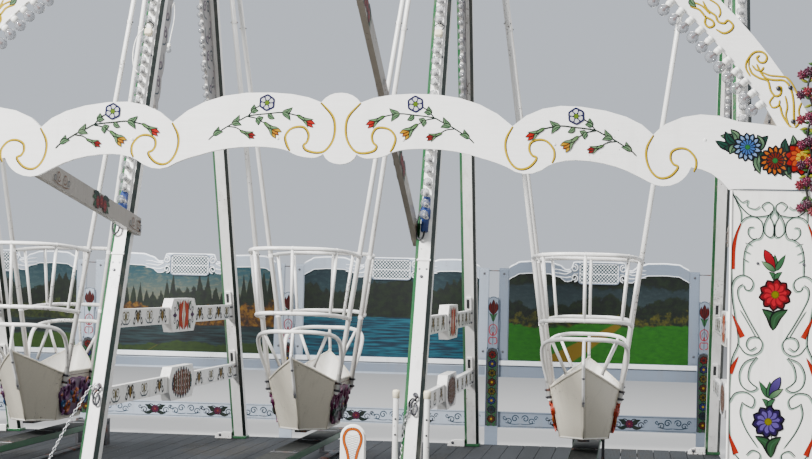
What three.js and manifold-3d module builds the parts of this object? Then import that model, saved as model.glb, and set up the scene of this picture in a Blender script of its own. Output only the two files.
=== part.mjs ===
// Swingboat ride: four caged boats that hang from a ridge axle between five A-frames, on a low deck,
// with a painted front of scalloped boards, pillars and lamp arches, and a painted fence behind.
// Millimetres, +Z up, X along the row of boats, -Y towards the public. The origin is on the ground,
// straight below the axle, in the plane of the middle A-frame.
import * as THREE from "three";
import { ConvexGeometry } from "three/addons/geometries/ConvexGeometry.js";
import { mergeVertices } from "three/addons/utils/BufferGeometryUtils.js";
import Module from "manifold-3d";

const wasm = await Module();
wasm.setup();

// Driving dimensions of the whole ride
const BAY = 2100;
const BAYS = 4;
const DECK_TOP = 250;
const DECK_THICK = 60;
const AXLE_Z = DECK_TOP + 5486;
const FRONT_Y = -5200;
const FENCE_Y = 4474;
const SEAT_GAP = 0.4;
const HALF_GAP = 0.5;
const OVERLAP = 1;
const BORE_AIR = 1;
const HUB_AIR = 0.25;
const ROUND_SIDES = 16;
const PIN_SIDES = 12;
const CUT_MARGIN = 100;
const FAR = 9000;

// Ground beams and deck
const BEAM_WIDTH = 120;
const BEAM_TOP = DECK_TOP - DECK_THICK - SEAT_GAP;
const BEAM_FRONT = FRONT_Y - 60;
const BEAM_BACK = 2560;
const RUNNER_TOP = 60;
const RUNNER_BACK = FENCE_Y + 60;
const DECK_FRONT = FRONT_Y + 66;
const DECK_BACK = 2500;

// A-frames
const LEG = { width: 126, depth: 120, chamfer: 24 };
const FOOT_Y = 2307;
const TIE_THICK = 40;
const TIE_HEIGHT = 125;
const TIE_CENTRES = [625, 1145];
const TIE_BLOCK = { length: 760, height: 255, slant: 60, thick: 72 };
const HEAD = { width: 140, depth: 300, below: 330, above: 95 };

// Axle and hubs
const AXLE_RADIUS = 35;
const AXLE_OVERHANG = 90;
const NUT = { radius: 60, thick: 30, gap: 1 };
const HUB_RADIUS = 58;
const HUB_LENGTH = 60;
const HUB_X = 924;

// Boat hull, heights above the deck
const HULL = {
  bottom: 325,
  gunwale: 690,
  tip: 866,
  bottomHalfWidth: 180,
  topHalfWidth: 248,
  sideHalfLength: 385,
  bottomHalfLength: 295,
  footHalfLength: 462,
  tipHalfLength: 820,
  wall: 12,
  floor: 15,
  sideTaper: 0.4,
  tipTaper: 1.5,
  hollowStretch: 1.6,
};
const KEEL = { width: 90, halfLength: 400, bottom: 300 };
const KEEL_OVERLAP = 2;

// Carved board on each side of a hull: its start and its curves, each by a control point and an end
const RELIEF = {
  thick: 42,
  sunk: 5,
  drop: 5,
  start: [-355, 20],
  curves: [
    [-345, 80, -295, 76],
    [-270, 150, -200, 128],
    [-100, 150, 0, 138],
    [100, 150, 200, 128],
    [270, 150, 295, 76],
    [345, 80, 355, 20],
    [330, -20, 285, -60],
    [250, -130, 150, -142],
    [70, -165, 0, -150],
    [-70, -165, -150, -142],
    [-250, -130, -285, -60],
    [-330, -20, -355, 20],
  ],
};

// Hanger of a boat: rods, rails and bars, heights above the deck
const ROD_RADIUS = 19;
const RAIL_RADIUS = 15;
const BAR_RADIUS = 12;
const ROD_FOOT = 600;
const ROD_FOOT_X = 253.7;
const ROD_FOOT_Y = 336;
const ROD_TOP_Y = 22;
const TOP_RAIL = 1660;
const MIDDLE_RAIL = 1192;
const TOP_RAIL_REACH = 880;
const MIDDLE_RAIL_REACH = 862;
const RAIL_SAG = 40;
const RAIL_POINTS = 12;
const RAIL_FULLNESS = 2 / 3;
const RAIL_STEPS = 9;
const BAR_SHARES = [0.14, 0.3, 0.5, 0.7, 0.86];
const HOOP = { height: 1052, reach: 790, crown: 5, foot: 720, steps: 11 };
const HOOP_SIDE = [
  { x: 185, y: 732, below: 0 },
  { x: 292, y: 590, below: 40 },
  { x: 306, y: 470, below: 150 },
];
const STRUT = { bolt: 575, gap: 3, rise: 14, spread: 0.17 };
const SIDE_STRUT_FOOT = { x: 128, y: 604, z: 804 };

// Brake under each boat
const PLANK = { width: 200, thick: 50, top: 210, front: -1990, back: 1300, pivotY: 1250 };
const PLANK_PIN = { radius: 16, reach: 32 };
const SHAFT = { y: -2200, z: 133, radius: 20 };
const CAM = { length: 254, thick: 30, width: 80 };
const LEVER = { offset: 100, radius: 19, top: 750, gripRadius: 26, gripLength: 130, shaftEnd: 30 };
const BRAKE_FRAME = {
  railWidth: 70,
  railThick: 12,
  blockLength: 90,
  blockWidth: 60,
  blockRise: 38,
  blockOffset: 110,
  cheekOffset: 120,
  cheekThick: 24,
  cheekLength: 120,
  cheekRise: 36,
  restHalfWidth: 60,
  restLength: 100,
  restFromFront: 330,
};
const RUNNING_AIR = 0.9;

// Painted front, heights above the deck
const FRONT_THICK = 30;
const ARCH = { centreZ: 983, inner: 2360, outer: 2508, foot: 1990 };
const PILLAR = { width: 400, thick: 80, top: 1890, inset: 80, postHalf: 90, postBelow: 40 };
const BRACE = {
  height: 120,
  thick: 36,
  start: -1500,
  archStart: 1741,
  archEnd: 3420,
  boardStart: 1776,
  boardEnd: 2250,
};

// Right half of a module's scalloped boards, from the middle's underside round to its top: each curve has a
// control point and an end, and the flat foot lies on the pillar
const SCALLOPS = {
  start: [0, 1983],
  underside: [
    [62, 1985, 80, 2031],
    [108, 2009, 140, 2012],
    [205, 2014, 248, 2043],
    [300, 2062, 410, 2062],
    [560, 2060, 677, 2019],
    [740, 2003, 790, 1981],
    [870, 1925, 951, 1969],
    [1010, 2018, 1110, 2018],
    [1240, 2016, 1345, 1972],
    [1410, 1942, 1440, 1925],
    [1510, 1883, 1580, 1920],
    [1622, 1945, 1638, 1992],
    [1742, 1985, 1812, 1892],
  ],
  footEnd: [2215, 1892],
  top: [
    [2275, 1900, 2275, 1960],
    [2279, 2100, 2215, 2165],
    [1960, 2195, 1850, 2205],
    [1670, 2275, 1520, 2190],
    [1490, 2170, 1464, 2140],
    [1380, 2240, 1130, 2266],
    [930, 2290, 813, 2172],
    [680, 2300, 455, 2317],
    [200, 2330, 94, 2275],
    [60, 2322, 0, 2321],
  ],
};
const POST = { width: 117, thick: 40, top: 703, y: -4597 };

// Fence behind, heights above the deck
const FENCE = {
  thick: 30,
  boardEnds: 1603,
  boardPeak: 1672,
  peakX: 650,
  dipX: 330,
  panelBottom: 610,
  stileWidth: 100,
  stileGap: 100,
  railTop: 672,
  railBottom: 505,
  railProud: 4,
  lowTop: 159,
  lowBottom: -1,
  bayGap: 2,
  boardInset: 5,
  shoulder: 110,
  crown: 150,
};
const CARTOUCHE = { halfWidth: 203, edge: 45, scroll: 70 };
const TULIP = { width: 112, top: 1316, bottom: 780, back: 6, front: 30 };
const FLOWER_PIECE = { width: 130, top: 804, back: 14, front: 44 };
const CLEAT = { near: 10, beyond: 20, height: 90, sunk: 5, heights: [29, 535, 986] };

const BAY_CENTRES = Array.from({ length: BAYS }, (_, i) => (i - (BAYS - 1) / 2) * BAY);
const FRAME_PLANES = Array.from({ length: BAYS + 1 }, (_, i) => (i - BAYS / 2) * BAY);

// Paints and metals
const paint = (color, roughness = 0.5, metalness = 0) =>
  new THREE.MeshStandardMaterial({ color, roughness, metalness });
const WHITE_PAINT = paint(0xe9e7df, 0.45);
const FRONT_PAINT = paint(0xeeebe0, 0.5);
const HULL_GREY = paint(0xb9b2a3, 0.5);
const DECK_PAINT = paint(0x6d7478, 0.75);
const STEEL = paint(0x8a8c8c, 0.45, 0.8);
const DARK_TIMBER = paint(0x3a3d38, 0.8);
const FENCE_PAINT = paint(0x9fb0bd, 0.55);

// Solids: a closed geometry becomes a manifold, and joins and cuts give one back
function solid(geometry) {
  const bare = geometry.clone();
  bare.deleteAttribute("normal");
  bare.deleteAttribute("uv");
  const merged = mergeVertices(bare, 1e-3);
  return new wasm.Manifold(
    new wasm.Mesh({
      numProp: 3,
      vertProperties: new Float32Array(merged.attributes.position.array),
      triVerts: new Uint32Array(merged.index.array),
    }),
  );
}

function join(parts) {
  return parts.reduce((sum, part) => sum.add(part));
}

function named(name, body, material) {
  const made = body.getMesh();
  const geometry = new THREE.BufferGeometry();
  geometry.setAttribute("position", new THREE.BufferAttribute(new Float32Array(made.vertProperties), 3));
  geometry.setIndex(new THREE.BufferAttribute(new Uint32Array(made.triVerts), 1));
  geometry.computeVertexNormals();
  const mesh = new THREE.Mesh(geometry, material);
  mesh.name = name;
  return mesh;
}

// A box between two corners
function box(x0, x1, y0, y1, z0, z1) {
  const geometry = new THREE.BoxGeometry(x1 - x0, y1 - y0, z1 - z0);
  geometry.translate((x0 + x1) / 2, (y0 + y1) / 2, (z0 + z1) / 2);
  return solid(geometry);
}

// A straight round bar between two points
function bar(a, b, radius, sides = 5) {
  const axis = new THREE.Vector3().subVectors(b, a);
  const geometry = new THREE.CylinderGeometry(radius, radius, axis.length(), sides);
  const turn = new THREE.Quaternion().setFromUnitVectors(
    new THREE.Vector3(0, 1, 0),
    axis.clone().normalize(),
  );
  geometry.applyQuaternion(turn);
  const middle = new THREE.Vector3().addVectors(a, b).multiplyScalar(0.5);
  geometry.translate(middle.x, middle.y, middle.z);
  return solid(geometry);
}

// A round bar along X
function barX(x0, x1, y, z, radius, sides) {
  return bar(new THREE.Vector3(x0, y, z), new THREE.Vector3(x1, y, z), radius, sides);
}

// A bent tube along a smooth curve
function bentTube(curve, radius, steps, sides = 5) {
  const section = new THREE.Shape(
    Array.from({ length: sides }, (_, i) => {
      const angle = (2 * Math.PI * (i + 0.5)) / sides;
      return new THREE.Vector2(radius * Math.cos(angle), radius * Math.sin(angle));
    }),
  );
  return solid(new THREE.ExtrudeGeometry(section, { steps, extrudePath: curve, curveSegments: 1 }));
}

// An outline of curves that each have a control point and an end
function curved(start, curves) {
  const outline = new THREE.Shape();
  outline.moveTo(start[0], start[1]);
  for (const curve of curves) {
    outline.quadraticCurveTo(...curve);
  }
  return outline;
}

// A flat board with its outline in X and Z
function boardXZ(outline, y0, y1, curveSegments = 6) {
  const geometry = new THREE.ExtrudeGeometry(outline, { depth: y1 - y0, bevelEnabled: false, curveSegments });
  geometry.rotateX(Math.PI / 2);
  geometry.translate(0, y1, 0);
  return solid(geometry);
}

// A flat board with its outline in Y and Z
function boardYZ(outline, x0, x1, curveSegments = 6) {
  const geometry = new THREE.ExtrudeGeometry(outline, { depth: x1 - x0, bevelEnabled: false, curveSegments });
  geometry.applyMatrix4(
    new THREE.Matrix4().makeBasis(
      new THREE.Vector3(0, 1, 0),
      new THREE.Vector3(0, 0, 1),
      new THREE.Vector3(1, 0, 0),
    ),
  );
  geometry.translate(x0, 0, 0);
  return solid(geometry);
}

function polygon(points) {
  return new THREE.Shape(points.map(([u, v]) => new THREE.Vector2(u, v)));
}

// A leg with chamfered corners in a plane of constant X, from one point to another in Y and Z
function legTimber(x, from, to) {
  const w = LEG.width / 2;
  const d = LEG.depth / 2;
  const c = LEG.chamfer;
  const section = polygon([
    [-w + c, -d],
    [w - c, -d],
    [w, -d + c],
    [w, d - c],
    [w - c, d],
    [-w + c, d],
    [-w, d - c],
    [-w, -d + c],
  ]);
  const run = new THREE.Vector3(0, to[0] - from[0], to[1] - from[1]);
  const geometry = new THREE.ExtrudeGeometry(section, { depth: run.length(), bevelEnabled: false });
  const along = run.clone().normalize();
  const sideways = new THREE.Vector3(1, 0, 0);
  const across = new THREE.Vector3().crossVectors(along, sideways);
  geometry.applyMatrix4(new THREE.Matrix4().makeBasis(sideways, across, along));
  geometry.translate(x, from[0], from[1]);
  return solid(geometry);
}

// Ground beam under the deck, which goes on as a low runner to the fence
function groundBeam(x) {
  const half = BEAM_WIDTH / 2;
  const beam = box(x - half, x + half, BEAM_FRONT, BEAM_BACK, 0, BEAM_TOP);
  return join([beam, box(x - half, x + half, BEAM_BACK - OVERLAP, RUNNER_BACK, 0, RUNNER_TOP)]);
}

// A block between two places along X, given in either order
function blockBetween(xa, xb, y0, y1, z0, z1) {
  return box(Math.min(xa, xb), Math.max(xa, xb), y0, y1, z0, z1);
}

// Frame of one brake on the deck: a flat rail with the shaft bearings, the plank's rest and its pin cheeks
function brakeFrame(centre, side) {
  const f = BRAKE_FRAME;
  const foot = DECK_TOP + SEAT_GAP;
  const flat = foot + f.railThick;
  const shaftZ = DECK_TOP + SHAFT.z;
  const pinZ = DECK_TOP + PLANK.top - PLANK.thick / 2;
  const shaftFrom = SHAFT.y - f.blockLength / 2;
  const shaftTo = SHAFT.y + f.blockLength / 2;
  const pinFrom = PLANK.pivotY - f.cheekLength / 2;
  const pinTo = PLANK.pivotY + f.cheekLength / 2;
  const restFrom = PLANK.front + f.restFromFront;
  const outerBlock = leverPlace(centre, side) - side * f.blockOffset;
  const parts = [centre + side * f.blockOffset, outerBlock].map((x) =>
    box(x - f.blockWidth / 2, x + f.blockWidth / 2, shaftFrom, shaftTo, foot, shaftZ + f.blockRise),
  );
  for (const s of [-1, 1]) {
    const x = centre + s * f.cheekOffset;
    parts.push(box(x - f.cheekThick / 2, x + f.cheekThick / 2, pinFrom, pinTo, foot, pinZ + f.cheekRise));
  }
  const restTop = DECK_TOP + PLANK.top - PLANK.thick - SEAT_GAP;
  const restHalf = f.restHalfWidth;
  parts.push(
    box(centre - restHalf, centre + restHalf, restFrom, restFrom + f.restLength, foot, restTop),
    box(centre - f.railWidth / 2, centre + f.railWidth / 2, shaftFrom, pinTo, foot, flat),
    box(centre - f.cheekOffset, centre + f.cheekOffset, pinFrom, pinTo, foot, flat),
    blockBetween(centre, outerBlock, shaftFrom, shaftTo, foot, flat),
  );
  const from = centre - BAY / 2;
  const to = centre + BAY / 2;
  const shaftHole = barX(from, to, SHAFT.y, shaftZ, SHAFT.radius + RUNNING_AIR, PIN_SIDES);
  const pinHole = barX(from, to, PLANK.pivotY, pinZ, PLANK_PIN.radius + RUNNING_AIR, PIN_SIDES);
  return join(parts).subtract(shaftHole).subtract(pinHole);
}

// Half of the deck, from the middle to one end
function deckHalf(side) {
  const outer = side * (BAY * (BAYS / 2) + BEAM_WIDTH / 2);
  return blockBetween(side * HALF_GAP, outer, DECK_FRONT, DECK_BACK, DECK_TOP - DECK_THICK, DECK_TOP);
}

// Where a brake lever stands along X
function leverPlace(centre, side) {
  return centre + side * (BAY / 2 - LEVER.offset);
}

// The levers of two neighbouring boats stand on either side of the A-frame between them
function leverSide(centre) {
  return Math.sign(BAY - Math.abs(centre)) * Math.sign(centre);
}

// A-frame: two legs, two tie boards with a painted block in the middle, and the head that holds the axle
function tieBoard(x, height) {
  const reach = FOOT_Y * (1 - height / (AXLE_Z - DECK_TOP));
  const half = TIE_HEIGHT / 2;
  const blockHalf = TIE_BLOCK.height / 2;
  const blockEnd = TIE_BLOCK.length / 2;
  const blockTop = blockEnd - TIE_BLOCK.slant;
  const z = DECK_TOP + height;
  const block = polygon([
    [-blockEnd, z - half],
    [-blockTop, z - blockHalf],
    [blockTop, z - blockHalf],
    [blockEnd, z - half],
    [blockEnd, z + half],
    [blockTop, z + blockHalf],
    [-blockTop, z + blockHalf],
    [-blockEnd, z + half],
  ]);
  return join([
    box(x - TIE_THICK / 2, x + TIE_THICK / 2, -reach, reach, z - half, z + half),
    boardYZ(block, x - TIE_BLOCK.thick / 2, x + TIE_BLOCK.thick / 2),
  ]);
}

function aFrame(x) {
  const footZ = DECK_TOP + SEAT_GAP;
  const sunk = LEG.depth;
  const spread = (FOOT_Y * (AXLE_Z - DECK_TOP + sunk)) / (AXLE_Z - DECK_TOP);
  const legs = [-1, 1].map((s) => legTimber(x, [s * spread, DECK_TOP - sunk], [0, AXLE_Z]));
  const head = box(
    x - HEAD.width / 2,
    x + HEAD.width / 2,
    -HEAD.depth / 2,
    HEAD.depth / 2,
    AXLE_Z - HEAD.below,
    AXLE_Z + HEAD.above,
  );
  const ties = TIE_CENTRES.map((height) => tieBoard(x, height));
  const body = join([...legs, head, ...ties]);
  const below = box(x - LEG.width, x + LEG.width, -FAR, FAR, -FAR, footZ);
  const bore = barX(x - HEAD.width, x + HEAD.width, 0, AXLE_Z, AXLE_RADIUS + BORE_AIR, ROUND_SIDES);
  return body.subtract(below).subtract(bore);
}

// Fixed axle through all the heads, with a nut disc at each end
function ridgeAxle() {
  const reach = (BAY * BAYS) / 2 + HEAD.width / 2;
  const shaft = barX(-reach - AXLE_OVERHANG, reach + AXLE_OVERHANG, 0, AXLE_Z, AXLE_RADIUS, ROUND_SIDES);
  const nuts = [-1, 1].map((s) => {
    const from = s * (reach + NUT.gap);
    const to = s * (reach + NUT.gap + NUT.thick);
    return barX(Math.min(from, to), Math.max(from, to), 0, AXLE_Z, NUT.radius, 6);
  });
  return join([shaft, ...nuts]);
}

// Boat hull: sheet-metal shell with raised points at bow and stern, open at the top
function hullBlock(inset, floor, stretch) {
  const h = HULL;
  const points = [];
  const sideHalf = h.sideHalfLength - inset * h.sideTaper;
  for (const sx of [-1, 1]) {
    for (const sy of [-1, 1]) {
      const low = new THREE.Vector3(sx * (h.bottomHalfWidth - inset), sy * (h.bottomHalfLength - inset), floor);
      const high = new THREE.Vector3(sx * (h.topHalfWidth - inset), sy * sideHalf, h.gunwale);
      points.push(low, low.clone().lerp(high, stretch));
    }
  }
  for (const sy of [-1, 1]) {
    const foot = new THREE.Vector3(0, sy * (h.footHalfLength - inset), floor);
    const tip = new THREE.Vector3(0, sy * (h.tipHalfLength - inset * h.tipTaper), h.tip);
    points.push(foot, foot.clone().lerp(tip, stretch));
  }
  return solid(new ConvexGeometry(points));
}

function sideRelief(side) {
  const geometry = new THREE.ExtrudeGeometry(curved(RELIEF.start, RELIEF.curves), {
    depth: RELIEF.thick,
    bevelEnabled: false,
    curveSegments: 3,
  });
  geometry.applyMatrix4(
    new THREE.Matrix4().makeBasis(
      new THREE.Vector3(0, 1, 0),
      new THREE.Vector3(0, 0, 1),
      new THREE.Vector3(1, 0, 0),
    ),
  );
  const slope = Math.atan((HULL.topHalfWidth - HULL.bottomHalfWidth) / (HULL.gunwale - HULL.bottom));
  if (side < 0) geometry.rotateZ(Math.PI);
  geometry.rotateY(side * slope);
  const wallX = (HULL.topHalfWidth + HULL.bottomHalfWidth) / 2;
  geometry.translate(side * (wallX - RELIEF.sunk), 0, (HULL.bottom + HULL.gunwale) / 2 - RELIEF.drop);
  return solid(geometry);
}

function boatHull() {
  const h = HULL;
  const shell = hullBlock(0, h.bottom, 1);
  const hollow = hullBlock(h.wall, h.bottom + h.floor, h.hollowStretch);
  const reach = h.tipHalfLength + CUT_MARGIN;
  const rise = ((h.tip - h.gunwale) * (reach - h.sideHalfLength)) / (h.tipHalfLength - h.sideHalfLength);
  const above = boardYZ(
    polygon([
      [-h.sideHalfLength, h.gunwale],
      [h.sideHalfLength, h.gunwale],
      [reach, h.gunwale + rise],
      [reach, FAR],
      [-reach, FAR],
      [-reach, h.gunwale + rise],
    ]),
    -BAY / 2,
    BAY / 2,
  );
  const keel = box(
    -KEEL.width / 2,
    KEEL.width / 2,
    -KEEL.halfLength,
    KEEL.halfLength,
    KEEL.bottom,
    h.bottom + KEEL_OVERLAP,
  );
  const reliefs = join([sideRelief(-1), sideRelief(1)]).subtract(hollow);
  return join([shell.subtract(above).subtract(hollow), keel, reliefs]);
}

// Where the axis of a hanger rod is at a height above the deck
function rodAt(height, sx, sy) {
  const share = (height - ROD_FOOT) / (AXLE_Z - DECK_TOP - ROD_FOOT);
  return new THREE.Vector3(
    sx * (ROD_FOOT_X + (HUB_X - ROD_FOOT_X) * share),
    sy * (ROD_FOOT_Y + (ROD_TOP_Y - ROD_FOOT_Y) * share),
    height,
  );
}

// A rail that leaves one rod, arches round the end of the boat and comes back to the other rod
function railCurve(height, reach, end) {
  const rod = rodAt(height - RAIL_SAG, 1, end);
  const points = Array.from({ length: RAIL_POINTS + 1 }, (_, k) => {
    const angle = (Math.PI * k) / RAIL_POINTS;
    const across = -Math.sign(Math.cos(angle)) * Math.abs(Math.cos(angle)) ** RAIL_FULLNESS;
    const out = Math.sin(angle) ** RAIL_FULLNESS;
    return new THREE.Vector3(rod.x * across, rod.y + (end * reach - rod.y) * out, rod.z + RAIL_SAG * out);
  });
  return new THREE.CatmullRomCurve3(points);
}

function hoopCurve(end) {
  const foot = rodAt(HOOP.foot, 1, end);
  const place = (point, side) => new THREE.Vector3(side * point.x, end * point.y, HOOP.height - point.below);
  return new THREE.CatmullRomCurve3([
    new THREE.Vector3(-foot.x, foot.y, foot.z),
    ...[...HOOP_SIDE].reverse().map((point) => place(point, -1)),
    new THREE.Vector3(0, end * HOOP.reach, HOOP.height + HOOP.crown),
    ...HOOP_SIDE.map((point) => place(point, 1)),
    new THREE.Vector3(foot.x, foot.y, foot.z),
  ]);
}

// Struts from the hoop down to the bow
function hoopStruts(end, hoop) {
  const slope = (HULL.tipHalfLength - HULL.footHalfLength) / (HULL.tip - HULL.bottom);
  const proud = HULL.footHalfLength + BAR_RADIUS + STRUT.gap;
  const stem = (height) => new THREE.Vector3(0, end * (proud + (height - HULL.bottom) * slope), height);
  const top = hoop.getPointAt(0.5);
  const bend = stem(HULL.tip + STRUT.rise);
  const struts = [bar(top, bend, BAR_RADIUS), bar(bend, stem(STRUT.bolt), BAR_RADIUS)];
  for (const sx of [-1, 1]) {
    const from = hoop.getPointAt(0.5 + sx * STRUT.spread);
    const to = new THREE.Vector3(sx * SIDE_STRUT_FOOT.x, end * SIDE_STRUT_FOOT.y, SIDE_STRUT_FOOT.z);
    struts.push(bar(from, to, BAR_RADIUS));
  }
  return struts;
}

function halfCage(end) {
  const upper = railCurve(TOP_RAIL, TOP_RAIL_REACH, end);
  const lower = railCurve(MIDDLE_RAIL, MIDDLE_RAIL_REACH, end);
  const hoop = hoopCurve(end);
  const bars = BAR_SHARES.map((t) => bar(upper.getPointAt(t), lower.getPointAt(t), BAR_RADIUS));
  return [
    bentTube(upper, RAIL_RADIUS, RAIL_STEPS),
    bentTube(lower, RAIL_RADIUS, RAIL_STEPS),
    bentTube(hoop, RAIL_RADIUS, HOOP.steps),
    ...bars,
    ...hoopStruts(end, hoop),
  ];
}

function boatHanger() {
  const axleHeight = AXLE_Z - DECK_TOP;
  const rods = [-1, 1].flatMap((sx) =>
    [-1, 1].map((sy) => bar(rodAt(axleHeight, sx, sy), rodAt(ROD_FOOT, sx, sy), ROD_RADIUS, 6)),
  );
  const hubs = [-1, 1].map((s) =>
    barX(s * HUB_X - HUB_LENGTH / 2, s * HUB_X + HUB_LENGTH / 2, 0, axleHeight, HUB_RADIUS, PIN_SIDES),
  );
  const body = join([...rods, ...hubs, ...halfCage(-1), ...halfCage(1)]);
  const boreRadius = (AXLE_RADIUS + HUB_AIR) / Math.cos(Math.PI / ROUND_SIDES);
  const bore = barX(-BAY / 2, BAY / 2, 0, axleHeight, boreRadius, ROUND_SIDES);
  return body.subtract(bore);
}

// Brake plank, hinged at its back end on a cross pin
function brakePlank(centre) {
  const top = DECK_TOP + PLANK.top;
  const half = PLANK.width / 2;
  const board = box(centre - half, centre + half, PLANK.front, PLANK.back, top - PLANK.thick, top);
  const reach = half + PLANK_PIN.reach;
  const pinZ = top - PLANK.thick / 2;
  const pin = barX(centre - reach, centre + reach, PLANK.pivotY, pinZ, PLANK_PIN.radius, PIN_SIDES);
  return join([board, pin]);
}

// Brake lever: a pole with a grip on a cross shaft, whose cam lifts the plank
function brakeLever(centre, side) {
  const z = DECK_TOP + SHAFT.z;
  const leverX = leverPlace(centre, side);
  const inner = centre - side * (CAM.width / 2);
  const outer = leverX + side * LEVER.shaftEnd;
  const shaft = barX(Math.min(inner, outer), Math.max(inner, outer), SHAFT.y, z, SHAFT.radius, PIN_SIDES);
  const cam = box(
    centre - CAM.width / 2,
    centre + CAM.width / 2,
    SHAFT.y,
    SHAFT.y + CAM.length,
    z - CAM.thick / 2,
    z + CAM.thick / 2,
  );
  const foot = new THREE.Vector3(leverX, SHAFT.y, z);
  const top = new THREE.Vector3(leverX, SHAFT.y, DECK_TOP + LEVER.top);
  const gripFrom = new THREE.Vector3(leverX, SHAFT.y, DECK_TOP + LEVER.top - LEVER.gripLength);
  return join([shaft, cam, bar(foot, top, LEVER.radius, 8), bar(gripFrom, top, LEVER.gripRadius, 10)]);
}

// Pillar of the front, a painted panel on a box post
function pillar(x) {
  const half = PILLAR.width / 2;
  const y0 = FRONT_Y - FRONT_THICK / 2;
  const top = DECK_TOP + PILLAR.top;
  const panel = box(x - half, x + half, y0, y0 + FRONT_THICK, BEAM_TOP + SEAT_GAP, top);
  const post = box(
    x - PILLAR.postHalf,
    x + PILLAR.postHalf,
    y0 + FRONT_THICK - OVERLAP,
    y0 + PILLAR.thick,
    BEAM_TOP + SEAT_GAP,
    top - PILLAR.postBelow,
  );
  return join([panel, post]);
}

// Scalloped boards of one front module, from the middle of the ride to an end pillar
function fasciaOutline() {
  const outline = curved(SCALLOPS.start, SCALLOPS.underside);
  outline.lineTo(...SCALLOPS.footEnd);
  for (const curve of SCALLOPS.top) {
    outline.quadraticCurveTo(...curve);
  }
  return outline;
}

function fascia(side) {
  const y0 = FRONT_Y - FRONT_THICK / 2;
  const half = boardXZ(fasciaOutline(), y0, y0 + FRONT_THICK, 4);
  const whole = half.add(half.mirror([1, 0, 0])).translate([side * BAY, 0, DECK_TOP + SEAT_GAP]);
  return whole.intersect(blockBetween(side * HALF_GAP, side * FAR, -FAR, 0, 0, FAR));
}

// Lamp arch of one front module, behind the scalloped boards
function archBoard(side) {
  const y1 = FRONT_Y + FRONT_THICK / 2 + SEAT_GAP + FRONT_THICK;
  const ring = new THREE.Shape();
  const a0 = Math.asin((ARCH.foot - ARCH.centreZ) / ARCH.outer);
  ring.absarc(0, ARCH.centreZ, ARCH.outer, a0, Math.PI - a0, false);
  ring.absarc(0, ARCH.centreZ, ARCH.inner, Math.PI - a0, a0, true);
  const arch = boardXZ(ring, y1 - FRONT_THICK, y1, 24).translate([side * BAY, 0, DECK_TOP]);
  return arch.intersect(blockBetween(side * HALF_GAP, side * FAR, -FAR, 0, 0, FAR));
}

// Board from the front leg of an A-frame to the front, on the leg's side that faces its front module
function frontBrace(x, toArch) {
  const y1 = FRONT_Y + FRONT_THICK / 2 + 2 * SEAT_GAP + FRONT_THICK;
  const start = [BRACE.start, DECK_TOP + (toArch ? BRACE.archStart : BRACE.boardStart)];
  const end = [y1, DECK_TOP + (toArch ? BRACE.archEnd : BRACE.boardEnd)];
  const side = x > 0 ? -1 : 1;
  const offset = side * (LEG.width / 2 + BRACE.thick / 2 + SEAT_GAP);
  const half = BRACE.height / 2;
  const outline = polygon([
    [start[0], start[1] - half],
    [start[0], start[1] + half],
    [end[0], end[1] + half],
    [end[0], end[1] - half],
  ]);
  return boardYZ(outline, x + offset - BRACE.thick / 2, x + offset + BRACE.thick / 2);
}

// Painted post with a round top at the middle of each front module
function entrancePost(x) {
  const half = POST.width / 2;
  const outline = new THREE.Shape();
  const neck = DECK_TOP + POST.top - half;
  outline.moveTo(-half, DECK_TOP + SEAT_GAP);
  outline.lineTo(half, DECK_TOP + SEAT_GAP);
  outline.lineTo(half, neck);
  outline.absarc(0, neck, half, 0, Math.PI, false);
  outline.lineTo(-half, DECK_TOP + SEAT_GAP);
  return boardXZ(outline, POST.y - POST.thick / 2, POST.y + POST.thick / 2, 8).translate([x, 0, 0]);
}

// A board standing on its end with a round top
function roundTopped(middle, width, bottom, top, y0, y1) {
  const half = width / 2;
  const neck = top - half;
  const outline = new THREE.Shape();
  outline.moveTo(middle - half, bottom);
  outline.lineTo(middle + half, bottom);
  outline.lineTo(middle + half, neck);
  outline.absarc(middle, neck, half, 0, Math.PI, false);
  outline.lineTo(middle - half, bottom);
  return boardXZ(outline, y0, y1, 8);
}

// Painted post at a frame plane, in front of the fence and fixed to the bay on one side of it
function fencePost(place, towardsBay) {
  const f = FENCE;
  const front = FENCE_Y - f.thick / 2;
  const z = (height) => DECK_TOP + height;
  const foot = RUNNER_TOP + SEAT_GAP;
  const parts = [
    roundTopped(place, TULIP.width, z(TULIP.bottom), z(TULIP.top), front - TULIP.front, front - TULIP.back),
    roundTopped(
      place,
      FLOWER_PIECE.width,
      foot,
      z(FLOWER_PIECE.top),
      front - FLOWER_PIECE.front,
      front - FLOWER_PIECE.back,
    ),
  ];
  const near = place + towardsBay * CLEAT.near;
  const reach = place + towardsBay * (f.stileGap / 2 + CLEAT.beyond);
  const cleatFront = front - FLOWER_PIECE.back - OVERLAP;
  for (const height of CLEAT.heights) {
    const low = z(height);
    parts.push(blockBetween(near, reach, cleatFront, front + CLEAT.sunk, low, low + CLEAT.height));
  }
  return join(parts);
}

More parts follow.
